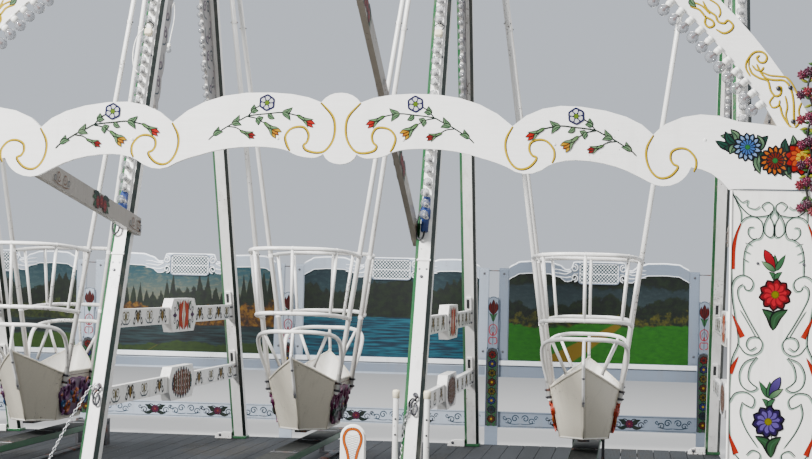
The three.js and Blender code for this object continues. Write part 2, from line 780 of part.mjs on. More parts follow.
// One bay of the fence: a scalloped panel between two stiles, a rail and a low board, with its painted posts
function fenceBay(x) {
  const f = FENCE;
  const half = BAY / 2 - f.bayGap;
  const outer = (BAY - f.stileGap) / 2;
  const inner = outer - f.stileWidth;
  const lap = f.boardInset;
  const dip = f.boardEnds - 2 * lap;
  const y0 = FENCE_Y - f.thick / 2;
  const y1 = FENCE_Y + f.thick / 2;
  const z = (height) => DECK_TOP + height;
  const board = new THREE.Shape();
  board.moveTo(-inner - lap, z(f.panelBottom));
  board.lineTo(inner + lap, z(f.panelBottom));
  board.lineTo(inner + lap, z(f.boardEnds));
  const rightHalf = [
    [inner, f.boardEnds],
    [inner - f.shoulder, f.boardPeak - 2 * lap],
    [f.peakX, f.boardPeak],
    [f.peakX - f.crown, f.boardPeak],
    [f.dipX, dip],
    [CARTOUCHE.halfWidth + CARTOUCHE.scroll, dip - lap],
    [CARTOUCHE.halfWidth + CARTOUCHE.edge, f.boardPeak],
  ];
  const leftHalf = [...rightHalf].reverse().map(([u, height]) => [-u, height]);
  for (const run of [rightHalf, leftHalf]) {
    board.lineTo(run[0][0], z(run[0][1]));
    for (let k = 1; k < run.length; k += 2) {
      board.quadraticCurveTo(run[k][0], z(run[k][1]), run[k + 1][0], z(run[k + 1][1]));
    }
  }
  board.lineTo(-inner - lap, z(f.boardEnds));
  const parts = [
    boardXZ(board, y0 + lap, y1 - lap, 5),
    box(-half, half, y0 - f.railProud, y1, z(f.railBottom), z(f.railTop)),
    box(-half, half, y0, y1, z(f.lowBottom), z(f.lowTop)),
  ];
  for (const s of [-1, 1]) {
    parts.push(blockBetween(s * inner, s * outer, y0, y1, z(f.railBottom), z(f.boardEnds)));
  }
  parts.push(fencePost(-BAY / 2, 1));
  if (x === BAY_CENTRES[BAYS - 1]) {
    parts.push(fencePost(BAY / 2, -1));
  }
  return join(parts).translate([x, 0, 0]);
}

// The ride, put together
const ride = new THREE.Group();
FRAME_PLANES.forEach((x, i) => {
  const number = i + 1;
  ride.add(named(`ground_beam_${number}`, groundBeam(x), DARK_TIMBER));
  ride.add(named(`a_frame_${number}`, aFrame(x), WHITE_PAINT));
  ride.add(named(`front_brace_${number}`, frontBrace(x, i % 2 === 1), WHITE_PAINT));
});
ride.add(named("deck_left", deckHalf(-1), DECK_PAINT));
ride.add(named("deck_right", deckHalf(1), DECK_PAINT));
ride.add(named("ridge_axle", ridgeAxle(), STEEL));

const hull = boatHull();
const hanger = boatHanger();
BAY_CENTRES.forEach((x, i) => {
  const number = i + 1;
  const boat = new THREE.Group();
  boat.position.set(x, 0, DECK_TOP);
  boat.add(named(`boat_hull_${number}`, hull, HULL_GREY));
  boat.add(named(`boat_hanger_${number}`, hanger, WHITE_PAINT));
  ride.add(boat);
  ride.add(named(`brake_frame_${number}`, brakeFrame(x, leverSide(x)), STEEL));
  ride.add(named(`brake_plank_${number}`, brakePlank(x), DARK_TIMBER));
  ride.add(named(`brake_lever_${number}`, brakeLever(x, leverSide(x)), WHITE_PAINT));
  ride.add(named(`fence_${number}`, fenceBay(x), FENCE_PAINT));
});

const pillarX = (BAY * BAYS) / 2 - PILLAR.inset;
["left", "middle", "right"].forEach((place, i) => {
  ride.add(named(`pillar_${place}`, pillar((i - 1) * pillarX), FRONT_PAINT));
});
[-1, 1].forEach((side) => {
  const place = side < 0 ? "left" : "right";
  ride.add(named(`fascia_${place}`, fascia(side), FRONT_PAINT));
  ride.add(named(`lamp_arch_${place}`, archBoard(side), FRONT_PAINT));
  ride.add(named(`entrance_post_${place}`, entrancePost(side * BAY), FRONT_PAINT));
});

export default ride;
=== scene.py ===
"""Looks of a fairground swingboat ride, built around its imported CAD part.

Shapes are drawn in millimetres in the frame of the part: X along the row of boats, -Y towards the public, Z up.
Heights count from the top of the deck unless a name says otherwise.
"""

import logging
import math
import random
from collections.abc import Callable, Iterable, Sequence
from dataclasses import dataclass, field
from enum import Enum

import bmesh
import bpy
from mathutils import Matrix, Vector

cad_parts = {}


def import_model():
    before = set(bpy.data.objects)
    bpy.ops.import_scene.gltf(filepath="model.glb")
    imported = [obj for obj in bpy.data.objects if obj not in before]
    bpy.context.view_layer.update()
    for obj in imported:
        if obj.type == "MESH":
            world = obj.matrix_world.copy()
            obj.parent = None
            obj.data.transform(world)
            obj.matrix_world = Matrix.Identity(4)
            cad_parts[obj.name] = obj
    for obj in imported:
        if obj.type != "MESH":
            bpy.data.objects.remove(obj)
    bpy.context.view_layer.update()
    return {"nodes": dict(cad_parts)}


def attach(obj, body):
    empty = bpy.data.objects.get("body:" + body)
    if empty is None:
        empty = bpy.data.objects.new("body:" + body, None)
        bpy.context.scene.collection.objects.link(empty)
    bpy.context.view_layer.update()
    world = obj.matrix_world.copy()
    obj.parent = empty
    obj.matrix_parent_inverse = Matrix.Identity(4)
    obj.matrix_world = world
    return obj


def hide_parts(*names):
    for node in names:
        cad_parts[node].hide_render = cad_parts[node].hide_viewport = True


LOG = logging.getLogger("swingboats")
MM = 0.001
BAY = 2100.0
DECK = 250.0
AXLE = 5486.0
FRONT_Y = -5215.0
FENCE_FACE = 4459.0
FOOT_Y = 2307.0
LEG_LENGTH = math.hypot(FOOT_Y, AXLE)
LEG_STRETCH = LEG_LENGTH / AXLE
LEG_HALF = 63.0
SEAT_GAP = 0.4
HUB_X = 924.0
QUARTER = math.pi / 2
TURN = 2 * math.pi
MIDDLE_FRAME = 3
FRAME_X = [(-2 + i) * BAY for i in range(5)]
BAY_X = [(-1.5 + i) * BAY for i in range(4)]

Colour = tuple[float, float, float]
Colours = tuple[Colour, ...]
Point = Sequence[float]
Mesh = bmesh.types.BMesh


def colour(code: str) -> Colour:
    """Linear colour for a hexadecimal display colour.

    Args:
        code: six hexadecimal digits, red first.

    Returns:
        The three linear channels.
    """
    parts = [int(code[i : i + 2], 16) / 255 for i in (0, 2, 4)]
    return tuple(c / 12.92 if c <= 0.04045 else ((c + 0.055) / 1.055) ** 2.4 for c in parts)


def colours(*codes: str) -> Colours:
    """Linear colours for several codes."""
    return tuple(colour(code) for code in codes)


def shade(base: Colour, factor: float) -> Colour:
    """A colour made darker or lighter by a factor."""
    return tuple(min(1.0, c * factor) for c in base)


WHITE = (1.0, 1.0, 1.0)
CREAM = colour("e9e5da")
LEAF = colour("3d6b46")
LEAF_PALE = colour("8cae82")
LEAF_DARK = colour("04120a")
CALYX = colour("4a7a34")
STEM = colour("10261c")
GOLD = colour("f0c800")
BLUE_LINE = colour("191c50")
RED = colour("a8261a")
ORANGE = colour("c4622a")
BROWN_LINE = colour("3a120c")
PURPLE = colour("5a2a58")
YELLOW = colour("dcb83c")
SLATE = colour("2f4452")
BLACK = colour("15171a")


# Shaders


class Value:
    """A number or a colour inside a shader, on which Python's operators build Math nodes."""

    def __init__(self, surface: "Surface", socket: bpy.types.NodeSocket) -> None:
        """Wraps a socket.

        Args:
            surface: the material the socket belongs to.
            socket: an output socket.
        """
        self.surface = surface
        self.socket = socket

    def _math(self, operation: str, *values: "Value | float") -> "Value":
        """One Math node.

        Args:
            operation: the node's operation.
            values: its inputs in order.

        Returns:
            Its result.
        """
        made = self.surface.node("ShaderNodeMath", {"operation": operation}, dict(enumerate(values)))
        return Value(self.surface, made.outputs[0])

    def __add__(self, other: "Value | float") -> "Value":
        """Sum."""
        return self._math("ADD", self, other)

    def __radd__(self, other: float) -> "Value":
        """Sum, number first."""
        return self._math("ADD", other, self)

    def __sub__(self, other: "Value | float") -> "Value":
        """Difference."""
        return self._math("SUBTRACT", self, other)

    def __rsub__(self, other: float) -> "Value":
        """Difference, number first."""
        return self._math("SUBTRACT", other, self)

    def __mul__(self, other: "Value | float") -> "Value":
        """Product."""
        return self._math("MULTIPLY", self, other)

    def __rmul__(self, other: float) -> "Value":
        """Product, number first."""
        return self._math("MULTIPLY", other, self)

    def __truediv__(self, other: "Value | float") -> "Value":
        """Quotient."""
        return self._math("DIVIDE", self, other)

    def __rtruediv__(self, other: float) -> "Value":
        """Quotient, number first."""
        return self._math("DIVIDE", other, self)

    def __pow__(self, other: float) -> "Value":
        """Power."""
        return self._math("POWER", self, other)

    def __abs__(self) -> "Value":
        """Absolute value."""
        return self._math("ABSOLUTE", self)

    def repeat(self, period: float) -> "Value":
        """Share of the way through a repeated period, from 0 to 1."""
        return self._math("FRACT", self / period)

    def over(self, edge: "Value | float", soft: float) -> "Value":
        """Rises from 0 to 1 round an edge.

        Args:
            edge: where it is one half.
            soft: half the width of the rise.

        Returns:
            A value from 0 to 1.
        """
        inputs = {"Value": self - edge, "From Min": -soft, "From Max": soft}
        settings = {"interpolation_type": "SMOOTHSTEP", "clamp": True}
        made = self.surface.node("ShaderNodeMapRange", settings, inputs)
        return Value(self.surface, made.outputs[0])


class Surface:
    """Node tree of one material."""

    def __init__(self, name: str) -> None:
        """Starts an empty material.

        Args:
            name: the material's name.
        """
        self.material = bpy.data.materials.new(name)
        self.material.use_nodes = True
        self.tree = self.material.node_tree
        self.tree.nodes.clear()
        self.output = self.node("ShaderNodeOutputMaterial")
        self.origin = self.node("ShaderNodeTexCoord").outputs["Object"]

    def node(self, kind: str, settings: dict | None = None, inputs: dict | None = None) -> bpy.types.Node:
        """Adds a node.

        Args:
            kind: the node's type.
            settings: its properties, set first.
            inputs: values, colours or links for its inputs, by name or number.

        Returns:
            The node.
        """
        made = self.tree.nodes.new(kind)
        for name, value in (settings or {}).items():
            setattr(made, name, value)
        for name, value in (inputs or {}).items():
            self.feed(made.inputs[name], value)
        return made

    def feed(self, socket: bpy.types.NodeSocket, value: object) -> None:
        """Links a value to a socket, or sets it there.

        Args:
            socket: the socket that gets the value.
            value: an output, a number or a colour.
        """
        if isinstance(value, Value):
            self.tree.links.new(value.socket, socket)
        elif isinstance(value, bpy.types.NodeSocket):
            self.tree.links.new(value, socket)
        elif socket.type == "RGBA" and len(value) == 3:
            socket.default_value = (*value, 1.0)
        else:
            socket.default_value = value

    def place(self, scale: Point = (1, 1, 1), centre: Point = (0, 0, 0), turn: Point = (0, 0, 0)) -> Value:
        """Object coordinates in metres, stretched, moved and turned.

        Args:
            scale: factor along each axis.
            centre: added after the scale.
            turn: angles about the axes in radians.

        Returns:
            The point.
        """
        inputs = {"Vector": self.origin, "Location": centre, "Rotation": turn, "Scale": scale}
        return Value(self, self.node("ShaderNodeMapping", {"vector_type": "POINT"}, inputs).outputs[0])

    def axis(self, point: Value, number: int) -> Value:
        """One coordinate of a point."""
        made = self.node("ShaderNodeSeparateXYZ", None, {0: point})
        return Value(self, made.outputs[number])

    def facing(self, number: int) -> Value:
        """One coordinate of the surface's true normal."""
        normal = self.node("ShaderNodeNewGeometry").outputs["True Normal"]
        return self.axis(Value(self, normal), number)

    def noise(self, where: Value, scale: float, detail: float = 3.0, rough: float = 0.55) -> Value:
        """Cloudy noise round one half.

        Args:
            where: the point.
            scale: features per metre.
            detail: octaves.
            rough: strength of the fine octaves.

        Returns:
            A value from about 0.2 to 0.8.
        """
        inputs = {"Vector": where, "Scale": scale, "Detail": detail, "Roughness": rough}
        return Value(self, self.node("ShaderNodeTexNoise", None, inputs).outputs[0])

    def mix(self, factor: Value | float, a: object, b: object, blend: str = "MIX") -> Value:
        """Colour between two colours.

        Args:
            factor: share of the second.
            a: first colour.
            b: second colour.
            blend: the way they are mixed.

        Returns:
            The colour.
        """
        settings = {"data_type": "RGBA", "blend_type": blend}
        made = self.node("ShaderNodeMix", settings, {0: factor, 6: a, 7: b})
        return Value(self, made.outputs[2])

    def rich(self, base: Value, saturation: float, value: float) -> Value:
        """A colour with its saturation and brightness scaled."""
        inputs = {"Saturation": saturation, "Value": value, "Color": base}
        return Value(self, self.node("ShaderNodeHueSaturation", None, inputs).outputs[0])

    def rim(self) -> Value:
        """Rises from 0 in the middle of a round glass to 1 at its outline."""
        return Value(self, self.node("ShaderNodeLayerWeight", None, {"Blend": 0.4}).outputs["Facing"])

    def painted(self) -> Value:
        """The colour painted on the mesh."""
        made = self.node("ShaderNodeAttribute", {"attribute_name": "paint", "attribute_type": "GEOMETRY"})
        return Value(self, made.outputs["Color"])

    def bump(self, height: Value, distance: float) -> Value:
        """A bumpy normal from a height.

        Args:
            height: from 0 to 1.
            distance: metres that 1 stands for.

        Returns:
            The normal.
        """
        inputs = {"Height": height, "Distance": distance, "Strength": 1.0}
        return Value(self, self.node("ShaderNodeBump", None, inputs).outputs[0])

    def finish(self, **inputs: object) -> bpy.types.Material:
        """Ends the tree with a Principled shader.

        Args:
            inputs: its inputs, with underscores for spaces.

        Returns:
            The material.
        """
        named = {name.replace("_", " "): value for name, value in inputs.items()}
        made = self.node("ShaderNodeBsdfPrincipled", None, named)
        self.tree.links.new(made.outputs[0], self.output.inputs[0])
        return self.material


class Grain(Enum):
    """Direction in which the fibres of a board run, as the stretch of the noise along X, Y and Z."""

    NONE = (1.0, 1.0, 1.0)
    ALONG_X = (0.07, 1.0, 1.0)
    ALONG_Y = (1.0, 0.07, 1.0)
    ALONG_Z = (1.0, 1.0, 0.07)


@dataclass(frozen=True)
class Finish:
    """A finish that makes its material once."""

    name: str

    def build(self, surface: Surface) -> bpy.types.Material:
        """Builds the node tree."""
        raise NotImplementedError

    def material(self) -> bpy.types.Material:
        """The finish's material, made on first use."""
        found = bpy.data.materials.get(self.name)
        return found or self.build(Surface(self.name))


@dataclass(frozen=True)
class Painted(Finish):
    """Paint on wood or metal, with brush marks, dirt, runs and chips."""

    base: Colour = CREAM
    under: Colour = (0.09, 0.07, 0.055)
    dirt: Colour = (0.16, 0.13, 0.1)
    grain: Grain = Grain.NONE
    wear: float = 0.3
    grime: float = 0.3
    rough: float = 0.42
    gloss: float = 0.5
    own_colours: bool = False
    green_chamfers_with_painted_light: bool = False

    def build(self, surface: Surface) -> bpy.types.Material:
        """Paint layers from the ground up.

        Args:
            surface: the material to fill.

        Returns:
            The material.
        """
        s = surface
        point = s.place()
        stretched = s.place(scale=self.grain.value)
        cloud = s.noise(point, 2.3, 4)
        fine = s.noise(stretched, 95, 5, 0.62)
        streak = s.noise(s.place(scale=(1.0, 1.0, 0.16)), 21, 4)
        speck = s.noise(point, 60, 4, 0.7)
        base = s.rich(s.painted(), 1.06, 0.42) if self.own_colours else s.mix(0.0, self.base, self.base)
        # Green chamfers with painted light: chamfers facing -X get a lighter green and chamfers facing +X a darker
        # green. This is painted light and painted shade, as if lit from the left.
        if self.green_chamfers_with_painted_light:
            slant = abs(s.facing(0))
            strip = slant.over(0.5, 0.02) * (1.0 - slant.over(0.86, 0.02))
            left = 1.0 - s.facing(0).over(0.0, 0.02)
            green = s.mix(left, colour("031a12"), colour("0a4a22"))
            base = s.mix(strip, base, green)
        tone = s.mix(0.35 + 0.5 * cloud, (0.92, 0.92, 0.93), WHITE)
        base = s.mix(1.0, base, tone, "MULTIPLY")
        brushed = s.mix(fine.over(0.5, 0.3) * 0.5, base, s.mix(1.0, base, (0.86, 0.85, 0.84), "MULTIPLY"))
        runs = (streak * 0.6 + cloud * 0.4).over(0.62, 0.16) * self.grime
        soiled = runs + speck.over(0.66, 0.06) * self.grime * 0.4
        aged = s.mix(soiled, brushed, self.dirt)
        chips = (speck * 0.55 + cloud * 0.45).over(0.68 - 0.06 * self.wear, 0.012) * (1.0 if self.wear else 0.0)
        final = s.mix(chips, aged, self.under)
        height = fine * 0.5 + (1.0 - chips) * 0.5
        return s.finish(
            Base_Color=final,
            Roughness=self.rough + 0.22 * soiled + 0.25 * chips + 0.08 * (fine - 0.5),
            Normal=s.bump(height, 0.0004),
            Coat_Weight=0.5 * self.gloss * (1.0 - chips),
            Coat_Roughness=0.2,
            Specular_IOR_Level=self.gloss,
        )


@dataclass(frozen=True)
class BoardPaint(Finish):
    """Worn floor paint on boards whose tones are painted on the mesh."""

    base: Colour = colour("5c6468")
    wood: Colour = colour("7b7468")

    def build(self, surface: Surface) -> bpy.types.Material:
        """Painted and trodden planks.

        Args:
            surface: the material to fill.

        Returns:
            The material.
        """
        s = surface
        point = s.place()
        fibre = s.noise(s.place(scale=(1.0, 0.05, 1.0)), 75, 6, 0.62)
        trodden = s.noise(s.place(scale=(1.0, 0.5, 1.0)), 1.7, 5, 0.6)
        sand = s.noise(point, 160, 3, 0.7)
        base = s.mix(1.0, self.base, s.painted(), "MULTIPLY")
        worn = (trodden * 0.6 + fibre * 0.4).over(0.56, 0.05)
        wood = s.mix(fibre, shade(self.wood, 0.55), self.wood)
        top = s.mix(worn * 0.7, base, wood)
        dusty = s.mix(sand.over(0.56, 0.1) * 0.22, top, colour("4c4a45"))
        return s.finish(
            Base_Color=dusty,
            Roughness=0.72 + 0.15 * worn,
            Normal=s.bump(fibre * 0.7 + sand * 0.3, 0.0012),
            Specular_IOR_Level=0.25,
        )


@dataclass(frozen=True)
class Timber(Finish):
    """Tarred or oiled dark timber with open grain."""

    base: Colour = colour("3b3a35")
    pale: Colour = colour("6d675b")
    grain: Grain = Grain.ALONG_Y

    def build(self, surface: Surface) -> bpy.types.Material:
        """Dark wood with dust in the grain.

        Args:
            surface: the material to fill.

        Returns:
            The material.
        """
        s = surface
        point = s.place()
        fibre = s.noise(s.place(scale=self.grain.value), 60, 6, 0.65)
        patch = s.noise(point, 3.1, 4)
        dust = s.noise(point, 30, 4, 0.65)
        base = s.mix(fibre, shade(self.base, 0.6), shade(self.base, 1.35))
        pale = s.mix((patch * 0.5 + fibre * 0.5).over(0.58, 0.06) * 0.7, base, self.pale)
        final = s.mix(dust.over(0.6, 0.08) * 0.3, pale, colour("5c574c"))
        rough = 0.7 + 0.2 * patch
        return s.finish(Base_Color=final, Roughness=rough, Normal=s.bump(fibre, 0.0015), Specular_IOR_Level=0.25)


@dataclass(frozen=True)
class Metal(Finish):
    """Bare metal with rust and grease."""

    base: Colour = (0.42, 0.41, 0.4)
    rust: float = 0.4

    def build(self, surface: Surface) -> bpy.types.Material:
        """Dull metal under patches of rust.

        Args:
            surface: the material to fill.

        Returns:
            The material.
        """
        s = surface
        point = s.place()
        cloud = s.noise(point, 9, 5, 0.6)
        pit = s.noise(point, 130, 4, 0.7)
        scratch = s.noise(s.place(scale=(0.1, 1.0, 1.0)), 150, 4)
        rusty = (cloud * 0.6 + pit * 0.4).over(0.62 - 0.12 * self.rust, 0.06)
        orange = s.mix(pit, colour("3d2218"), colour("8a4b26"))
        base = s.mix(scratch * 0.5, self.base, shade(self.base, 0.6))
        return s.finish(
            Base_Color=s.mix(rusty, base, orange),
            Metallic=0.9 - 0.8 * rusty,
            Roughness=0.34 + 0.4 * rusty + 0.15 * scratch,
            Normal=s.bump(pit * 0.5 + rusty * 0.5, 0.0005),
        )


@dataclass(frozen=True)
class Plastic(Finish):
    """Moulded plastic or cable sheath, dusty."""

    base: Colour = CREAM
    rough: float = 0.35

    def build(self, surface: Surface) -> bpy.types.Material:
        """Coloured plastic with dust.

        Args:
            surface: the material to fill.

        Returns:
            The material.
        """
        s = surface
        point = s.place()
        dust = s.noise(point, 26, 4, 0.6)
        fine = s.noise(point, 240, 2)
        final = s.mix(dust.over(0.56, 0.12) * 0.35, self.base, shade(self.base, 0.45))
        return s.finish(
            Base_Color=final,
            Roughness=self.rough + 0.25 * dust,
            Normal=s.bump(fine, 0.0001),
        )


@dataclass(frozen=True)
class LampGlass(Finish):
    """Thin clear glass of a lamp, a little dusty."""

    tint: Colour = (0.26, 0.265, 0.28)

    def build(self, surface: Surface) -> bpy.types.Material:
        """See-through glass with dust.

        Args:
            surface: the material to fill.

        Returns:
            The material.
        """
        s = surface
        dust = s.noise(s.place(), 35, 3)
        # Painted shade: the grey tint is darkened towards the globe's outline, standing in for the dark reflections at
        # the rim of a clear globe. The glass is also more opaque there.
        edge = s.rim() ** 1.3
        return s.finish(
            Base_Color=s.mix(edge, self.tint, shade(self.tint, 0.1)),
            Roughness=0.05 + 0.2 * dust.over(0.55, 0.2),
            Alpha=0.28 + 0.2 * dust + 0.6 * edge,
            Coat_Weight=1.0,
            Coat_Roughness=0.03,
        )


@dataclass(frozen=True)
class ParkPicture(Finish):
    """A painted park with trees, water and a lawn, in the colours and scale of common fair paintings."""

    middle: float = 0.0
    sky: Colours = colours("c2b890", "3c6f7c")
    trees: Colours = colours("0b1712", "2a3d22")
    bushes: Colours = colours("5a3410", "c08a2a")
    water: Colours = colours("101c20", "3a5558")
    lawn: Colours = colours("15260f", "4a6a24")
    tree_line: float = 0.62
    spikes: float = 0.28
    bush_line: float = 0.5
    shore: float = 0.3
    lawn_top: float = 0.08
    canopy: float = 0.0
    path: float = 0.0
    low: float = 0.93
    high: float = 1.83

    def build(self, surface: Surface) -> bpy.types.Material:
        """Layers from the sky down to the foreground, with brushed edges.

        Args:
            surface: the material to fill.

        Returns:
            The material.
        """
        s = surface
        start = (-self.middle, 0, 0)
        point = s.place(centre=start)
        x = s.axis(point, 0)
        h = (s.axis(point, 2) - self.low) / (self.high - self.low)
        dab = s.noise(s.place(scale=(0.6, 1.0, 1.4), centre=start), 24, 4, 0.62)
        broad = s.noise(s.place(scale=(1.0, 1.0, 0.15), centre=(1.7 - self.middle, 0, 0)), 2.4, 3)
        leaf = s.noise(point, 17, 6, 0.72)
        edge = (dab - 0.5) * 0.07
        scene = s.mix(h.over(0.62, 0.35), *self.sky)
        scene = s.mix(dab.over(0.56, 0.1) * 0.25, scene, shade(self.sky[0], 1.2))
        tips = 1.0 - 2.0 * abs((x + 0.11 * broad).repeat(0.074) - 0.5)
        tall = s.noise(s.place(scale=(1.0, 1.0, 0.0), centre=(4.1 - self.middle, 0, 0)), 5.5, 1)
        crowns = self.tree_line + self.spikes * tips * tall.over(0.5, 0.14) + 0.5 * (broad - 0.5) + 0.16 * (leaf - 0.5)
        scene = s.mix((crowns - h).over(0.0, 0.012), scene, s.mix(leaf.over(0.52, 0.16), *self.trees))
        hedge = self.bush_line + 0.55 * (tall - 0.5) + 0.2 * (leaf - 0.5)
        thicket = (hedge - h).over(0.0, 0.015) * leaf.over(0.4, 0.12)
        scene = s.mix(thicket, scene, s.mix(leaf.over(0.55, 0.14), *self.bushes))
        ripple = s.noise(s.place(scale=(0.22, 1.0, 3.4), centre=start), 15, 3)
        scene = s.mix((self.shore + edge * 0.4 - h).over(0.0, 0.01), scene, s.mix(ripple.over(0.52, 0.14), *self.water))
        bank = self.lawn_top + 0.2 * (broad - 0.5) + edge
        ground = (bank - h).over(0.0, 0.012)
        scene = s.mix(ground, scene, s.mix(dab, *self.lawn))
        track = (0.05 + 0.3 * (bank - h)) * self.path - abs(x + 0.42 - 1.5 * h)
        scene = s.mix(track.over(0.0, 0.012) * ground, scene, colour("a88a34"))
        over = (h - 1.0 + self.canopy * (0.5 + broad) + 0.2 * (leaf - 0.5)).over(0.0, 0.02)
        scene = s.mix(over * min(1.0, self.canopy * 10), scene, s.mix(leaf.over(0.55, 0.15), *self.trees))
        return s.finish(
            Base_Color=s.rich(scene, 1.2, 0.23),
            Roughness=0.4 + 0.2 * dab,
            Normal=s.bump(dab, 0.0005),
            Specular_IOR_Level=0.25,
        )


class Finishes:
    """All the finishes of the ride."""

    # The frame's green chamfers carry painted light on their left side and painted shade on their right side.
    frame = Painted("frame white", base=colour("e4e2dd"), wear=0.9, grime=0.42, rough=0.38, green_chamfers_with_painted_light=True)
    white = Painted("white metal paint", base=colour("e6e4df"), wear=1.0, grime=0.35, rough=0.36)
    front = Painted("front board white", base=colour("eae8e3"), grain=Grain.ALONG_X, wear=0.1, grime=0.12, rough=0.34)
    pillar = Painted("pillar white", base=colour("e6e3dc"), grain=Grain.ALONG_Z, wear=0.5, grime=0.3, rough=0.4)
    hand = Painted("hand painting", own_colours=True, wear=0.0, grime=0.12, rough=0.5, gloss=0.12)
    carving = Painted("painted carving", own_colours=True, wear=0.7, grime=0.35, rough=0.42, gloss=0.3)
    hull = Painted("hull grey", base=colour("cfc8b6"), wear=1.3, grime=0.3, rough=0.42)
    inside = Painted("hull inside", base=colour("dedbd2"), wear=1.2, grime=0.45, rough=0.5)
    # Painted shade: the carved boards' grey-white paint is made grey, as if the boards stood in shade.
    carved_grey_with_painted_shade = Painted("carved board grey", base=colour("86827f"), wear=0.8, grime=0.5, rough=0.45)
    # Painted shade: the braces' grey-brown paint is darkened as if the braces stood in shade.
    brace_grey_with_painted_shade = Painted("brace grey", base=colour("827a6e"), grain=Grain.ALONG_Z, wear=0.8, grime=0.5, rough=0.45)
    underrim = Painted("under rim red", base=colour("4a2a22"), wear=0.8, grime=0.5, rough=0.5)
    # Painted shade: this blue-grey is a darker copy of the pale fence paint, used for the fourth bay as if it stood in
    # shade. It also paints the lower rail board and the ring round the cartouche.
    fence = Painted("fence blue grey", base=colour("6b7684"), grain=Grain.ALONG_X, wear=0.5, grime=0.3, rough=0.42)
    fence_pale = Painted("fence pale", base=colour("9aa4b0"), grain=Grain.ALONG_X, wear=0.5, grime=0.3, rough=0.42)
    fence_white = Painted("fence white", base=colour("dfe2e4"), grain=Grain.ALONG_X, wear=0.5, grime=0.28, rough=0.42)
    board = Painted("toned paint", own_colours=True, grain=Grain.ALONG_Y, wear=0.6, grime=0.4, rough=0.45)
    gold = Painted("gold line", base=GOLD, wear=0.0, grime=0.1, rough=0.3)
    green = Painted("green trim", base=colour("0c4a24"), wear=0.8, grime=0.3, rough=0.4)
    deck = BoardPaint("deck boards", base=colour("1c1f23"), wood=colour("2f2d29"))
    timber = Timber("ground timber", base=colour("26251f"), pale=colour("403d34"))
    plank = Timber("plank timber", base=colour("1a1c1b"), pale=colour("2f312d"))
    steel = Metal("steel")
    dark_steel = Metal("dark steel", base=(0.09, 0.09, 0.095), rust=0.35)
    clamp = Metal("clamp", base=(0.05, 0.05, 0.055), rust=0.05)
    bolt = Metal("bolt", base=(0.13, 0.13, 0.14), rust=0.2)
    socket = Plastic("lamp socket", base=colour("dcdad4"))
    black = Plastic("black plastic", base=colour("1c1d1f"), rough=0.45)
    blue = Plastic("blue plug", base=colour("0b2c68"))
    grip = Plastic("cream grip", base=colour("d8cdb2"))
    glass = LampGlass("lamp glass")
    filament = Painted("filament", base=colour("5c2608"), wear=0.0, grime=0.0, rough=0.3)
    pictures = (
        ParkPicture(
            "painted pond", middle=-3.15, sky=colours("8fa7a0", "3f6470"), bushes=colours("23301a", "6a7a34"),
            spikes=0.1, tree_line=0.7, shore=0.34, lawn_top=0.16, lawn=colours("1c3512", "5d8a2c"),
        ),
        ParkPicture("painted dusk", middle=-1.05),
        ParkPicture(
            "painted lake", middle=1.05, sky=colours("5d7a7c", "24404a"), bushes=colours("12211c", "33503c"),
            water=colours("0c3b54", "4f93a8"), spikes=0.06, tree_line=0.78, bush_line=0.42, shore=0.44, lawn_top=-0.2,
        ),
        ParkPicture(
            "painted garden", middle=3.15, sky=colours("56686a", "2a3c42"), bushes=colours("1a2c16", "7a7636"),
            lawn=colours("135a1a", "46b030"), spikes=0.0, tree_line=0.66, bush_line=0.5, shore=-0.2, lawn_top=0.4,
            canopy=0.16, path=1.0,
        ),
    )


# Meshes


def smooth_line(points: Iterable[Point], steps: int = 6, closed: bool = False) -> list[Vector]:
    """A smooth line through points.

    Args:
        points: at least two points of two or three coordinates.
        steps: places from one point to the next.
        closed: whether the line comes back to its start.

    Returns:
        The places along the line.
    """
    knots = [Vector(p) for p in points]
    count = len(knots)
    spans = count if closed else count - 1
    line = []
    for i in range(spans):
        if closed:
            a, b, c, d = (knots[(i + k) % count] for k in (-1, 0, 1, 2))
        else:
            b, c = knots[i], knots[i + 1]
            a = knots[i - 1] if i else b * 2 - c
            d = knots[i + 2] if i + 2 < count else c * 2 - b
        for k in range(steps):
            t = k / steps
            line.append(
                0.5 * ((2 * b) + (c - a) * t + (2 * a - 5 * b + 4 * c - d) * t * t + (3 * b - a - 3 * c + d) * t**3)
            )
    if not closed:
        line.append(knots[-1].copy())
    return line


def along(start: Point, end: Point) -> Matrix:
    """A place at a start whose Z axis points to an end."""
    a, b = Vector(start), Vector(end)
    return move_to(a) @ aim(b - a)


def at(x: float, y: float, z: float) -> Matrix:
    """A place at three coordinates."""
    return Matrix.Translation((x, y, z))


def turned(angle: float, axis: str) -> Matrix:
    """A turn about one axis."""
    return Matrix.Rotation(angle, 4, axis)


def move_to(point: Point) -> Matrix:
    """A place at a given point."""
    return Matrix.Translation(point)


def along_x(x: float, y: float, z: float, side: int = 1) -> Matrix:
    """A place whose Z runs along X, towards the given side."""
    return at(x, y, z) @ turned(side * QUARTER, "Y")


def axes(right: Vector, up: Vector, out: Vector) -> Matrix:
    """A turn to three given axes."""
    return Matrix((right, up, out)).transposed().to_4x4()


def aim(ahead: Vector, axis: str = "Z", up: str = "Y") -> Matrix:
    """A turn that points one axis ahead."""
    return ahead.to_track_quat(axis, up).to_matrix().to_4x4()


def facing_front(x: float, y: float, z: float) -> Matrix:
    """A board plane that faces the public: u along X, v up, w towards -Y."""
    return at(x, y, z) @ turned(QUARTER, "X")


def facing_side(x: float, y: float, z: float, side: int) -> Matrix:
    """A plane that faces along X: v up, w towards the given side."""
    return at(x, y, z) @ turned(side * QUARTER, "Z") @ turned(QUARTER, "X")


